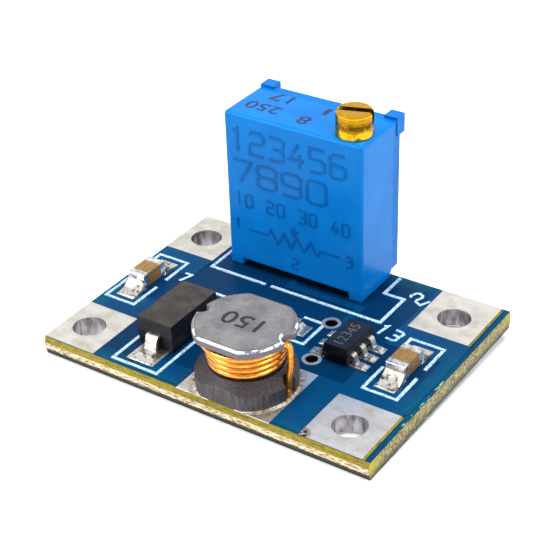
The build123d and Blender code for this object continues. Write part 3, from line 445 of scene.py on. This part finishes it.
plain = {  # small, printed or hidden parts: name, two tones, width of the grain, metallic, roughness
    "alumina": ("fired alumina", "#d9d6cd", "#efede7", 0.1, 0.0, 0.5),  # bone white, matt
    "glaze": ("dark resistor glaze", "#15171c", "#262a33", 0.2, 0.0, 0.25),  # fired glass, nearly black
    "silicon": ("polished silicon", "#3d4048", "#565a66", 0.3, 0.4, 0.2),  # sawn and polished, slate grey
    "rubber": ("nitrile rubber", "#17181a", "#26282b", 0.1, 0.0, 0.75),  # moulded, dull black
    "nylon": ("natural nylon", "#ddd8c6", "#ece8da", 0.4, 0.0, 0.45),  # moulded, cream
    "cermet": ("fired cermet track", "#2b2723", "#45403a", 0.08, 0.1, 0.5),  # printed and fired, brown black
    "silverTrack": ("fired silver track", "#bdb9b0", "#e3dfd8", 0.12, 0.9, 0.35),  # printed and fired, pale
    "contactAlloy": ("sprung contact alloy", "#b99a62", "#d8bd86", 0.2, 1.0, 0.3),  # stamped, pale gold
    "enamelMark": ("dark marking enamel", "#1c1c20", "#333036", 0.12, 0.0, 0.6),  # stamped on, soft black
    "blueMark": ("dark blue print", "#132b5c", "#3a2f4a", 0.35, 0.0, 0.5),  # printed, navy turning purple
    "paleMark": ("pale burnt marking", "#383c44", "#646972", 0.08, 0.0, 0.6),  # burnt in by light, grey
}
finishes = {
    "laminate": makeLaminate(),
    "mask": makeMask(),
    "padTin": makeLevelledTin("hot air levelled tin"),
    "landTin": makeLevelledTin("hot air levelled tin with flux", fluxed=True),
    # the via walls are painted nearly black, as shade down the narrow holes
    "viaTin": makeLevelledTin("tinned via", wallDark="#100e09", wallPale="#2c2a22"),
    "ferrite": makeFerrite(),
    # the last colour before the roughness is the painted shade of each moulding's sides
    "chipMoulding": makeMoulding("chip_body", "black moulding compound", "#10131b", "#1d212c", "#07090f", 0.4),
    "diodeMoulding": makeMoulding(
        "diode_body", "warm black moulding compound", "#262221", "#403b37", "#0c0a10", 0.5,
    ),
    "trimmerPlastic": makeTrimmerPlastic("blue moulded thermoplastic", "#036dbe", "#0678cb", 0.08),
    "coverPlastic": makeTrimmerPlastic("blue moulded cover", "#0265b4", "#046fc2", 0.05),
    # the moulded figures are drawn darker blue, as painted shade in their sunk strokes
    "shadedFigures": makeTrimmerPlastic("blue plastic with painted shade in the moulded figures", "#035597", "#0461ab", 0.08),
    "brass": makeBrass(),
}
for key, look in grained.items():
    finishes[key] = makeGrained(look)
for key, (name, dark, pale, width, metallic, roughness) in plain.items():
    finishes[key] = makeGrained({
        "name": name, "grain": (width, 3.0), "relief": 0.004, "colours": [(0.35, dark), (0.65, pale)],
        "surface": {"Metallic": metallic, "Specular IOR Level": 0.3, "Roughness": roughness},
    })
print("finishes made:", len(finishes))


# Which finish the solids wear
dress = {
    "laminate": "board_laminate",
    "foil": "copper_top copper_bottom",
    "mask": "solder_mask_top solder_mask_bottom",
    "ink": "silkscreen_top",
    "padTin": "input_plus_pad input_minus_pad output_plus_pad output_minus_pad trimmer_hole_plating "
              "inductor_terminals",
    "landTin": "component_lands",
    "viaTin": "via_plating",
    "solder": "inductor_solder chip_solder diode_solder input_capacitor_solder output_capacitor_solder "
              "resistor_solder trimmer_solder",
    "ferrite": "inductor_core",
    "wire": "inductor_winding",
    "chipMoulding": "chip_body",
    "diodeMoulding": "diode_body",
    "lead": "chip_leads diode_leads trimmer_pins",
    "silicon": "chip_die diode_die",
    "capacitor": "input_capacitor_ceramic output_capacitor_ceramic",
    "platedEnd": "input_capacitor_ends output_capacitor_ends resistor_ends",
    "alumina": "resistor_body trimmer_element_plate",
    "glaze": "resistor_coat",
    "trimmerPlastic": "trimmer_housing",
    "coverPlastic": "trimmer_back_cover",
    "rubber": "trimmer_seal_ring",
    "cermet": "trimmer_resistive_track",
    "silverTrack": "trimmer_collector_track",
    "brass": "trimmer_adjusting_screw",
    "nylon": "trimmer_wiper_carriage",
    "contactAlloy": "trimmer_wiper_contact",
}
softEdges = {  # edge rounding of moulded and dipped parts
    "chip_body": 0.06, "diode_body": 0.08, "input_capacitor_ends": 0.07, "output_capacitor_ends": 0.07,
    "resistor_ends": 0.05, "trimmer_back_cover": 0.05,
}
leastTurn = math.radians(40)  # edges that turn less stay as they are
for finish, nodeNames in dress.items():
    for nodeName in nodeNames.split():
        solid = bpy.data.objects[nodeName]
        solid.data.materials.clear()
        solid.data.materials.append(finishes[finish])
for nodeName, radius in softEdges.items():
    rounding = bpy.data.objects[nodeName].modifiers.new("edge rounding", "BEVEL")
    rounding.width = radius * mm
    rounding.segments = 3
    rounding.limit_method = "ANGLE"
    rounding.angle_limit = leastTurn
print("finishes worn:", len(dress))


# Makes an object from a bmesh in millimetres, rides it on the module and gives it a finish
def placePiece(name, shape, finish, smooth=True):
    bmesh.ops.remove_doubles(shape, verts=shape.verts, dist=1e-5)
    bmesh.ops.recalc_face_normals(shape, faces=shape.faces)
    for vertex in shape.verts:
        vertex.co *= mm
    mesh = bpy.data.meshes.new(name)
    shape.to_mesh(mesh)
    shape.free()
    piece = bpy.data.objects.new(name, mesh)
    bpy.context.scene.collection.objects.link(piece)
    mesh.materials.append(finishes[finish])
    for face in mesh.polygons:
        face.use_smooth = smooth
    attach(piece, "module")
    return piece


# Joins rings of points into one closed skin, in a bmesh of its own or in one that is given
def skinRings(rings, shape=None):
    if shape is None:
        shape = bmesh.new()
    rows = [[shape.verts.new(p) for p in ring] for ring in rings]
    for low, high in zip(rows, rows[1:]):
        count = len(low)
        for i in range(count):
            j = (i + 1) % count
            shape.faces.new((low[i], low[j], high[j], high[i]))
    shape.faces.new(rows[0][::-1])
    shape.faces.new(rows[-1])
    return shape


# Round tube along points; its rings turn with the line, so they never flip
def tubeAlong(points, radius, sides=12):
    ahead = (points[1] - points[0]).normalized()
    across = ahead.orthogonal().normalized()
    rings = []
    for i, point in enumerate(points):
        heading = (points[min(i + 1, len(points) - 1)] - points[max(i - 1, 0)]).normalized()
        across = (ahead.rotation_difference(heading) @ across).normalized()
        over, ahead = heading.cross(across).normalized(), heading
        turns = (2 * math.pi * k / sides for k in range(sides))
        rings.append([point + radius * (across * math.cos(a) + over * math.sin(a)) for a in turns])
    return skinRings(rings)


# Inductor winding: one wire up the left notch, round the post, up into the right notch and down again
def windInductor():
    coil = {
        "wire": 0.4, "pitch": 0.405, "turns": 3.5, "radius": 2.0, "flare": 0.07, "start": 2.93,
        "wobble": 0.03, "waver": 0.02, "stepsPerTurn": 40,
        "looseTurn": 3.0, "looseReach": 0.3, "bulge": 0.2,  # the top turn stands off at the left
        "leaving": 0.3, "leavingOut": 0.28, "leavingUp": 0.15,  # the last stretch climbs to the notch
        # distance from the axis and height along the two notches, and the sideways swing on the way down
        "rise": [(2.66, 1.36), (2.66, 1.7), (2.64, 2.1), (2.58, 2.5), (2.4, 2.8)],
        "fall": [
            (2.5, 4.6), (2.65, 4.62), (2.75, 4.38), (2.8, 4.0),
            (2.8, 3.4), (2.75, 2.8), (2.68, 2.2), (2.66, 1.36),
        ],
        "swing": [0.02, 0.045, 0.075, 0.085, 0.08, 0.06, 0.03, 0.0],
    }
    middle = Vector((*inductorMiddle[:2], 0))

    def around(angle, radius, height):
        return middle + Vector((radius * math.cos(angle), radius * math.sin(angle), height))

    points = [around(math.pi, radius, height) for radius, height in coil["rise"]]
    steps = int(coil["turns"] * coil["stepsPerTurn"])
    for i in range(3, steps - 1):
        turn = i / coil["stepsPerTurn"]
        angle = math.pi + 2 * math.pi * turn
        radius = coil["radius"] + coil["flare"] * turn
        radius += coil["wobble"] * noise.noise(Vector((angle * 0.6, 3.1, 0)))
        loose = max(0.0, 1 - abs(turn - coil["looseTurn"]) / coil["looseReach"])
        radius += coil["bulge"] * loose * loose * (3 - 2 * loose)
        leaving = max(0.0, (turn - coil["turns"] + coil["leaving"]) / coil["leaving"])
        radius += coil["leavingOut"] * leaving**2
        height = coil["start"] + coil["pitch"] * turn
        height += coil["waver"] * noise.noise(Vector((angle * 0.5, 9.2, 1.0)))
        points.append(around(angle, radius, height + coil["leavingUp"] * leaving**2))
    for (radius, height), swing in zip(coil["fall"], coil["swing"]):
        points.append(around(swing, radius, height))
    # a smooth curve through the points gives the wire's line
    route = bpy.data.curves.new("winding route", "CURVE")
    route.dimensions = "3D"
    spline = route.splines.new("NURBS")
    spline.points.add(len(points) - 1)
    for at, point in zip(spline.points, points):
        at.co = (*point, 1.0)
    spline.order_u = 4
    spline.use_endpoint_u = True
    spline.resolution_u = 3
    guide = bpy.data.objects.new("winding route", route)
    smoothRoute = bpy.data.meshes.new_from_object(guide)
    line = [v.co.copy() for v in smoothRoute.vertices]
    bpy.data.objects.remove(guide)
    bpy.data.meshes.remove(smoothRoute)
    winding = placePiece("wound_wire", tubeAlong(line, coil["wire"] / 2), "wire")
    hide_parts("inductor_winding")


windInductor()
print("winding made")


# A fillet of solder, climbing a foot or an end cap and falling hollow to its land. origin is the middle of the
# foot's outer end on the land, outward the way it points. look gives the foot's length and width, the land's
# reach back and ahead and its width, and the rise of solder at the end and at the sides
def solderFillet(name, origin, outward, look):
    footLength, footWidth = look["foot"]
    back, ahead, landWidth = look["land"]
    flow = {
        "film": 0.02, "below": 0.006, "columns": 22, "rows": 20, "roundCorners": 0.06,
        "lumps": 0.28, "lumpsPerMm": 2.2, "spread": 1.02, "leastBack": 0.01,
    }
    columns, rows = flow["columns"], flow["rows"]
    out = Vector((*outward, 0)).normalized()
    across = Vector((-out.y, out.x, 0))
    shape = bmesh.new()
    seed = Vector((origin[0] * 1.7, origin[1] * 1.3, 4.0))

    def level(u, v):
        lump = 1 + flow["lumps"] * noise.noise(seed + Vector((u, v, 0)) * flow["lumpsPerMm"])
        aheadOf = max(0.0, u)
        beside = max(0.0, abs(v) - footWidth / 2)
        behind = max(0.0, -u - footLength)
        if aheadOf == beside == behind == 0.0:
            return flow["film"] / 2
        besideReach = (landWidth - footWidth) / 2 * flow["spread"]
        behindReach = max(back - footLength, flow["leastBack"])
        reach = math.hypot(aheadOf / (ahead * lump), beside / besideReach, behind / behindReach)
        tall = look["rise"]
        if aheadOf <= beside:
            share = aheadOf / (beside + 1e-6)
            tall = look["sideRise"] + (look["rise"] - look["sideRise"]) * share**2
        return flow["film"] + max(0.0, tall) * max(0.0, 1 - reach) ** look.get("hollow", 2.2)

    grid = []
    for r in range(rows + 1):
        line = []
        for c in range(columns + 1):
            s, t = 2 * c / columns - 1, 2 * r / rows - 1
            squeeze = 1 - flow["roundCorners"] * (s * s) * (t * t)
            u = (-back + (ahead + back) * (s + 1) / 2) * (squeeze if s > 0 else 1)
            v = landWidth / 2 * t * squeeze
            atRim = c in (0, columns) or r in (0, rows)
            z = 0.0 if atRim else level(u, v)
            line.append(shape.verts.new(Vector(origin) + out * u + across * v + Vector((0, 0, z))))
        grid.append(line)
    for r in range(rows):
        for c in range(columns):
            shape.faces.new((grid[r][c], grid[r][c + 1], grid[r + 1][c + 1], grid[r + 1][c]))
    rim = grid[0] + [line[-1] for line in grid[1:]] + grid[-1][-2::-1] + [line[0] for line in grid[-2:0:-1]]
    low = [shape.verts.new(v.co - Vector((0, 0, flow["below"]))) for v in rim]
    for i in range(len(rim)):
        j = (i + 1) % len(rim)
        shape.faces.new((rim[i], low[i], low[j], rim[j]))
    shape.faces.new(low[::-1])
    return placePiece(name, shape, "solder")


def solderChip():
    look = {"pitch": 0.95, "foot": (0.42, 0.4), "land": (0.52, 0.27, 0.56), "rise": 0.15, "sideRise": 0.11}
    low, high = boxOf("chip_leads")
    middle = middleOf("chip_leads")
    made = []
    for side, x in ((1, high[0]), (-1, low[0])):
        for k in (-1, 0, 1):
            origin = (x, middle[1] + k * look["pitch"], landTop)
            made.append(solderFillet(f"chip_joint_{len(made) + 1}", origin, (side, 0), look))
    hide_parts("chip_solder")


# Parts with one joint at each end, measured from the metal that is soldered
def solderEnds():
    capacitor = {"foot": (0.45, 1.25), "land": (0.14, 1.16, 1.3), "rise": 0.62, "sideRise": 0.12}
    parts = {  # the soldered metal, the axis that its ends lie along, and the joint
        "output_capacitor": ("ends", 1, capacitor), "input_capacitor": ("ends", 1, capacitor),
        "resistor": ("ends", 0, {
            "foot": (0.3, 0.85), "land": (0.22, 0.62, 1.1), "rise": 0.3, "sideRise": 0.14,
        }),
        "diode": ("leads", 1, {
            "foot": (0.5, 0.8), "land": (0.95, 0.58, 1.7), "rise": 0.26, "sideRise": 0.2, "hollow": 1.8,
        }),
    }
    for partName, (metal, axis, look) in parts.items():
        solidName = f"{partName}_{metal}"
        low, high = boxOf(solidName)
        for side, end, place in ((1, high, "back"), (-1, low, "front")):
            origin = [*middleOf(solidName)[:2], landTop]
            origin[axis] = end[axis]
            outward = (0, side) if axis else (side, 0)
            joint = solderFillet(f"{partName}_joint_{place}", origin, outward, look)
            if side > 0:
                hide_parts(f"{partName}_solder")


solderChip()
solderEnds()
print("solder joints made")


# Solder and flux pushed out round the inductor's base, bright and lumpy, thickest at its two ends
def ringInductor():
    ring = {
        "inner": 2.62, "contact": 2.88, "halfAngle": 62, "steps": 40, "fadeSteps": 4, "innerRise": 0.6,
        # the full measure, the share between lumps, what lumps add to it and the share at the ring's ends
        "rise": (0.13, 0.75, 0.5, 0.15), "reach": (0.22, 0.8, 0.55, 0.3),
        "profile": [0.0, 0.5, 1.0, 1.25, 1.5, 1.75, 2.0],  # 0 to 1 under the drum, 1 to 2 out to the rim
        "above": 0.022, "foot": 1.216, "hollow": 1.7,
    }
    middle = Vector(inductorMiddle)
    for side in (0, 1):
        rings = []
        for i in range(ring["steps"] + 1):
            angle = math.radians(180 * side - ring["halfAngle"] + 2 * ring["halfAngle"] * i / ring["steps"])
            toward = Vector((math.cos(angle), math.sin(angle), 0))
            lump = noise.noise(Vector((angle * 2.3, side * 5.0, 1.0)))
            fade = min(1.0, i / ring["fadeSteps"], (ring["steps"] - i) / ring["fadeSteps"])
            rise, reach = (
                full * (between + lumps * lump) * (ends + (1 - ends) * fade)
                for full, between, lumps, ends in (ring["rise"], ring["reach"])
            )
            section = []
            for share in ring["profile"]:
                if share <= 1.0:
                    distance = ring["inner"] + (ring["contact"] - ring["inner"]) * share
                    height = rise * (ring["innerRise"] + (1 - ring["innerRise"]) * share)
                else:
                    distance = ring["contact"] + reach * (share - 1.0)
                    height = rise * (2.0 - share) ** ring["hollow"]
                section.append(middle + toward * distance + Vector((0, 0, ring["above"] + height)))
            section += [Vector((*section[end].xy, ring["foot"])) for end in (-1, 0)]
            rings.append(section)
        placePiece(f"inductor_joint_{side + 1}", skinRings(rings), "landTin")
    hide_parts("inductor_solder")


ringInductor()


# Torn glass along the two snapped scores: a ragged lip at the front and the back of the board
def tearEdges():
    edge = {
        "low": 0.45, "high": 0.78, "step": 0.11, "ragged": 0.07, "proud": 0.035,
        "inside": 0.12, "skin": 0.004, "endGap": 0.004,  # endGap is a share of the edge's length
    }
    (left, front), (right, back) = boardLow[:2], boardHigh[:2]
    sides = {"front": ((left, front), (right, front), -1), "back": ((right, back), (left, back), 1)}
    for name, (start, end, way) in sides.items():
        start, end, outward = Vector((*start, 0)), Vector((*end, 0)), Vector((0, way, 0))
        count = int((end - start).length / edge["step"])
        rings = []
        for i in range(count + 1):
            base = start.lerp(end, edge["endGap"] + (1 - 2 * edge["endGap"]) * i / count)
            high = edge["high"] + edge["ragged"] * (dice.random() - 0.45)
            low = edge["low"] + edge["ragged"] * (dice.random() - 0.65)
            proud = edge["proud"] * (0.3 + dice.random())
            belly = low + (high - low) * (0.25 + 0.2 * dice.random())
            brow = low + (high - low) * (0.6 + 0.2 * dice.random())
            section = [
                (-edge["inside"], low), (edge["skin"], low), (proud, belly),
                (proud * 0.6, brow), (edge["skin"], high), (-edge["inside"], high),
            ]
            rings.append([base + outward * out + Vector((0, 0, height)) for out, height in section])
        placePiece(f"torn_edge_{name}", skinRings(rings), "tornGlass", smooth=False)


tearEdges()
print("board edges torn")


# A plane to draw on: the drawing's middle, its reading direction and its up direction
def drawingPlane(middle, reading, up):
    x, y = Vector(reading).normalized(), Vector(up).normalized()
    z = x.cross(y)
    plane = Matrix((x, y, z)).transposed().to_4x4()
    plane.translation = Vector(middle)
    return plane


underSkin = 0.004  # drawings start this far inside their surface


# Figures of plain type, fitted to a width and height in millimetres, standing off by their depth
def drawFigures(name, text, size, depth, plane, finish, bold=0.0):
    words = bpy.data.curves.new(name, "FONT")
    words.body = text
    words.offset = bold
    words.resolution_u = 3
    guide = bpy.data.objects.new(name + "_guide", words)
    flat = bpy.data.meshes.new_from_object(guide)
    bpy.data.objects.remove(guide)
    xs, ys = [v.co.x for v in flat.vertices], [v.co.y for v in flat.vertices]
    scaleX, scaleY = size[0] / (max(xs) - min(xs)), size[1] / (max(ys) - min(ys))
    middleX, middleY = (max(xs) + min(xs)) / 2, (max(ys) + min(ys)) / 2
    shape = bmesh.new()
    shape.from_mesh(flat)
    bpy.data.meshes.remove(flat)
    bmesh.ops.remove_doubles(shape, verts=shape.verts, dist=1e-4)
    for vertex in shape.verts:
        vertex.co = ((vertex.co.x - middleX) * scaleX, (vertex.co.y - middleY) * scaleY, -underSkin)
    grown = bmesh.ops.extrude_face_region(shape, geom=shape.faces[:])
    risen = [item for item in grown["geom"] if isinstance(item, bmesh.types.BMVert)]
    bmesh.ops.translate(shape, vec=(0, 0, depth + underSkin), verts=risen)
    shape.transform(plane)
    return placePiece(name, shape, finish, smooth=False)


# Lines of one width with mitred corners, each a list of points on the plane
def drawLines(name, lines, width, depth, plane, finish):
    stagger = 0.0012  # crossing lines never share a surface
    leastSquare = 0.35  # keeps the mitre of a sharp corner short
    shape = bmesh.new()
    for order, line in enumerate(lines):
        points = [Vector(p) for p in line]
        left, right = [], []
        for i, point in enumerate(points):
            before = (point - points[i - 1]).normalized() if i else None
            after = (points[i + 1] - point).normalized() if i + 1 < len(points) else None
            heading = ((before or after) + (after or before)).normalized()
            normal = Vector((-heading.y, heading.x))
            square = Vector((-(after or before).y, (after or before).x))
            half = width / 2 / max(leastSquare, normal.dot(square))
            left.append(point + normal * half)
            right.append(point - normal * half)
        top = depth + stagger * order
        rings = [[(*r, -underSkin), (*l, -underSkin), (*l, top), (*r, top)] for l, r in zip(left, right)]
        skinRings(rings, shape)
    shape.transform(plane)
    return placePiece(name, shape, finish, smooth=False)


# Figures in one line width, on a box one wide and two high: points are across,up and a slash starts a new line
lineFigures = {
    "0": ".5,0 .22,0 0,.25 0,1.75 .22,2 .78,2 1,1.75 1,.25 .78,0 .5,0",
    "1": ".25,1.7 .55,2 .55,0",
    "2": "0,1.7 .22,2 .78,2 1,1.78 1,1.25 .8,1.02 .2,.95 0,.75 0,0 1,0",
    "3": "0,2 .78,2 1,1.8 1,1.22 .8,1.02 .3,1.02 / .78,1 1,.82 1,.22 .78,0 0,0",
    "4": ".65,2 0,.6 1,.6 / .72,1.15 .72,0",
    "5": "1,2 0,2 0,1.12 .78,1.12 1,.9 1,.22 .78,0 0,0",
    "6": ".95,2 .25,2 0,1.75 0,.22 .22,0 .78,0 1,.22 1,.9 .8,1.1 .1,1.1",
    "7": "0,2 1,2 .35,0",
    "8": ".5,2 .22,2 0,1.8 0,1.22 .2,1.03 .8,1.03 1,1.22 1,1.8 .78,2 .5,2"
         " / .25,1 0,.82 0,.22 .22,0 .78,0 1,.22 1,.82 .75,1",
    "9": ".05,0 .75,0 1,.25 1,1.78 .78,2 .22,2 0,1.78 0,1.1 .2,.9 .9,.9",
}


# Sets a row of line figures from its left end: figure width, height and the step from one to the next
def setRow(text, left, foot, width, height, step):
    lines = []
    for place, figure in enumerate(text):
        if figure == " ":
            continue
        for line in lineFigures[figure].split("/"):
            points = [[float(part) for part in point.split(",")] for point in line.split()]
            lines.append([(left + step * place + width * u, foot + height * v / 2) for u, v in points])
    return lines


# Figures and the usual sign of a variable resistor, moulded into the trimmer's front and darkened as painted
# shade, and figures on its top
def markTrimmer():
    marks = {
        "depth": 0.03, "inkDepth": 0.012,
        "rows": [  # text, left, foot, width, height, step, line width
            ("123456", -5.6, 9.2, 1.0, 1.5, 1.4, 0.2),
            ("7890", -5.45, 7.1, 1.3, 1.5, 1.75, 0.19),
            ("10 20 30 40", -5.4, 5.5, 0.48, 0.85, 0.76, 0.13),
            ("1", -5.5, 3.75, 0.4, 0.75, 0.6, 0.12),
            ("3", 2.45, 3.45, 0.4, 0.75, 0.6, 0.12),
            ("2", -1.35, 2.15, 0.4, 0.7, 0.6, 0.12),
        ],
        "sign": {
            "height": 3.95, "line": 0.16,
            "teeth": 8, "firstTooth": -2.85, "toothStep": 0.47, "toothHeight": 0.4,
            "leftEnd": [-4.5, -3.1], "rightEnd": [0.7, 2.0],
            "arrow": [(-1.2, 5.05), (-1.2, 4.62)], "barbs": [(-1.46, 4.82), (-1.2, 4.45), (-0.94, 4.82)],
        },
        "top": [  # printed, read from the back: text, middle, width, height
            ("250", (-4.15, 5.95), 2.3, 0.95), ("17", (-3.9, 7.55), 1.5, 0.95),
            ("8", (-1.15, 5.7), 0.75, 1.0), ("1", (-0.55, 7.3), 0.3, 0.85),
        ],
    }
    low, high = boxOf("trimmer_housing")
    plane = drawingPlane((0, low[1], 0), (1, 0, 0), (0, 0, 1))
    for i, (text, left, foot, width, height, step, line) in enumerate(marks["rows"]):
        drawLines(
            f"front_figures_{i + 1}", setRow(text, left, foot, width, height, step), line, marks["depth"],
            plane, "shadedFigures",
        )
    sign = marks["sign"]
    zigzag = [(x, sign["height"]) for x in sign["leftEnd"]]
    for i in range(sign["teeth"]):
        tooth = sign["toothHeight"] * (-1) ** i
        zigzag.append((sign["firstTooth"] + sign["toothStep"] * i, sign["height"] + tooth))
    zigzag += [(x, sign["height"]) for x in sign["rightEnd"]]
    drawLines(
        "front_resistor_sign", [zigzag, sign["arrow"], sign["barbs"]], sign["line"], marks["depth"],
        plane, "shadedFigures",
    )
    for i, (text, (x, y), width, height) in enumerate(marks["top"]):
        plane = drawingPlane((x, y, high[2]), (-1, 0, 0), (0, -1, 0))
        drawFigures(
            f"top_figures_{i + 1}", text, (width, height), marks["inkDepth"], plane, "blueMark", 0.005,
        )


markTrimmer()


# Plain figures on inductor, chip and board
def markBoard():
    clear = 0.001  # figures lie this far above the surface
    topOf = {name: boxOf(name)[1][2] + clear for name in ("inductor_core", "chip_body", "solder_mask_top")}
    plane = drawingPlane((1.95, -5.55, topOf["inductor_core"]), (-1, -0.03, 0), (0.03, -1, 0))
    drawFigures("inductor_figures", "150", (2.4, 1.2), 0.01, plane, "enamelMark", 0.01)
    plane = drawingPlane((5.3, -0.1, topOf["chip_body"]), (0, 1, 0), (-1, 0, 0))
    drawFigures("chip_figures", "12345", (2.1, 0.62), 0.006, plane, "paleMark", -0.01)
    printed = {
        "line": 0.17, "depth": 0.016,
        "rows": [  # text, width, height, place, reading direction
            ("13", 0.75, 1.0, (6.85, 2.55), (0.985, -0.17, 0)),
            ("2", 0.85, 1.15, (6.35, 6.85), (0.45, 0.89, 0)),
            ("7", 0.6, 0.9, (-6.95, 1.3), (1, 0, 0)),
        ],
    }
    for i, (text, width, height, (x, y), reading) in enumerate(printed["rows"]):
        up = (-reading[1], reading[0], 0)
        plane = drawingPlane((x, y, topOf["solder_mask_top"]), reading, up)
        row = setRow(text, -0.6 * len(text), -height / 2, width / 1.2, height, width * 1.25)
        drawLines(f"board_figures_{i + 1}", row, printed["line"], printed["depth"], plane, "ink")


markBoard()
print("figures drawn")


# 1 for rays from the lens, off gloss and through glass, and 0 for the light that falls on things
def seenWhite(tree):
    rays = ("Is Camera Ray", "Is Glossy Ray", "Is Transmission Ray")
    camera, glossy, transmission = (addNode(tree, "LightPath", result=ray) for ray in rays)
    seen = addNode(tree, "Math", (camera, glossy), operation="MAXIMUM")
    return addNode(tree, "Math", (seen, transmission), operation="MAXIMUM")


# The floor touches the pins' tips at the back and the board's lower edge at the front
def layFloor():
    floor = {"tilt": 2.32, "pinTip": (6.865, -0.61), "size": 1600, "glow": 0.18, "glowFades": (25, 90)}
    shape = bmesh.new()
    bmesh.ops.create_grid(shape, x_segments=2, y_segments=2, size=floor["size"] / 2 * mm)
    mesh = bpy.data.meshes.new("floor")
    shape.to_mesh(mesh)
    shape.free()
    sheet = bpy.data.objects.new("floor", mesh)
    sheet.rotation_euler = (math.radians(-floor["tilt"]), 0, 0)
    sheet.location = (0, floor["pinTip"][0] * mm, floor["pinTip"][1] * mm)
    bpy.context.scene.collection.objects.link(sheet)
    # white paper: matt, plain white to the lens and in reflections, except where the object shades it
    material, add, place, _ = startMaterial("white paper floor", {})
    paper = add("BsdfDiffuse", {"Color": "#ffffff", "Roughness": 0.0})
    fromObject = add("VectorMath", (place,), operation="LENGTH")
    glowing = add("MapRange", (fromObject, *floor["glowFades"], floor["glow"], 1.0))
    strength = add("Math", (seenWhite(material.node_tree), glowing))
    glow = add("Emission", {"Color": "#ffffff", "Strength": strength})
    add("OutputMaterial", {"Surface": add("AddShader", (paper, glow))})
    mesh.materials.append(material)


layFloor()


def lightScene():
    lamps = {  # place, aim and size in mm, power in watts, and whether reflections show the lamp
        "broad light above": ((5, 10, 150), (0, 0, 0), 110, 0.3, False),
        "light at the right": ((150, -20, 60), (0, 0, 4), 90, 0.16, True),
        "light at the left front": ((-90, -120, 90), (0, 0, 4), 90, 0.2, True),
    }
    studio = {"light": 0.14, "seen": 1.0}  # strength of its white as light and as what is seen
    for name, (place, aim, size, power, mirrored) in lamps.items():
        light = bpy.data.lights.new(name, "AREA")
        light.shape = "DISK"
        light.size = size * mm
        light.energy = power
        holder = bpy.data.objects.new(name, light)
        holder.location = Vector(place) * mm
        holder.rotation_euler = (Vector(aim) - Vector(place)).to_track_quat("-Z", "Y").to_euler()
        holder.visible_glossy = mirrored
        bpy.context.scene.collection.objects.link(holder)
    world = bpy.data.worlds.new("white studio")
    bpy.context.scene.world = world
    world.use_nodes = True
    tree = world.node_tree
    tree.nodes.clear()
    light, seen = (addNode(tree, "Background", {"Color": "#ffffff", "Strength": studio[use]}) for use in studio)
    addNode(tree, "OutputWorld", {"Surface": addNode(tree, "MixShader", (seenWhite(tree), light, seen))})


lightScene()


def placeCamera():
    view = {
        "place": (39.6519, -56.8665, 48.3402), "turn": (57.0250829, 1.97476244, 34.06345419),
        "lens": 91.703, "sensor": 36.0, "shift": (0.034838, 0.020492), "clip": (0.001, 10),
    }
    lens = bpy.data.cameras.new("camera")
    lens.sensor_fit = "HORIZONTAL"
    lens.sensor_width = view["sensor"]
    lens.lens = view["lens"]
    lens.shift_x, lens.shift_y = view["shift"]
    lens.clip_start, lens.clip_end = view["clip"]
    camera = bpy.data.objects.new("camera", lens)
    camera.location = Vector(view["place"]) * mm
    camera.rotation_euler = [math.radians(a) for a in view["turn"]]
    bpy.context.scene.collection.objects.link(camera)
    bpy.context.scene.camera = camera


placeCamera()
bpy.context.scene.view_settings.view_transform = "Standard"
print("floor, light and camera set")
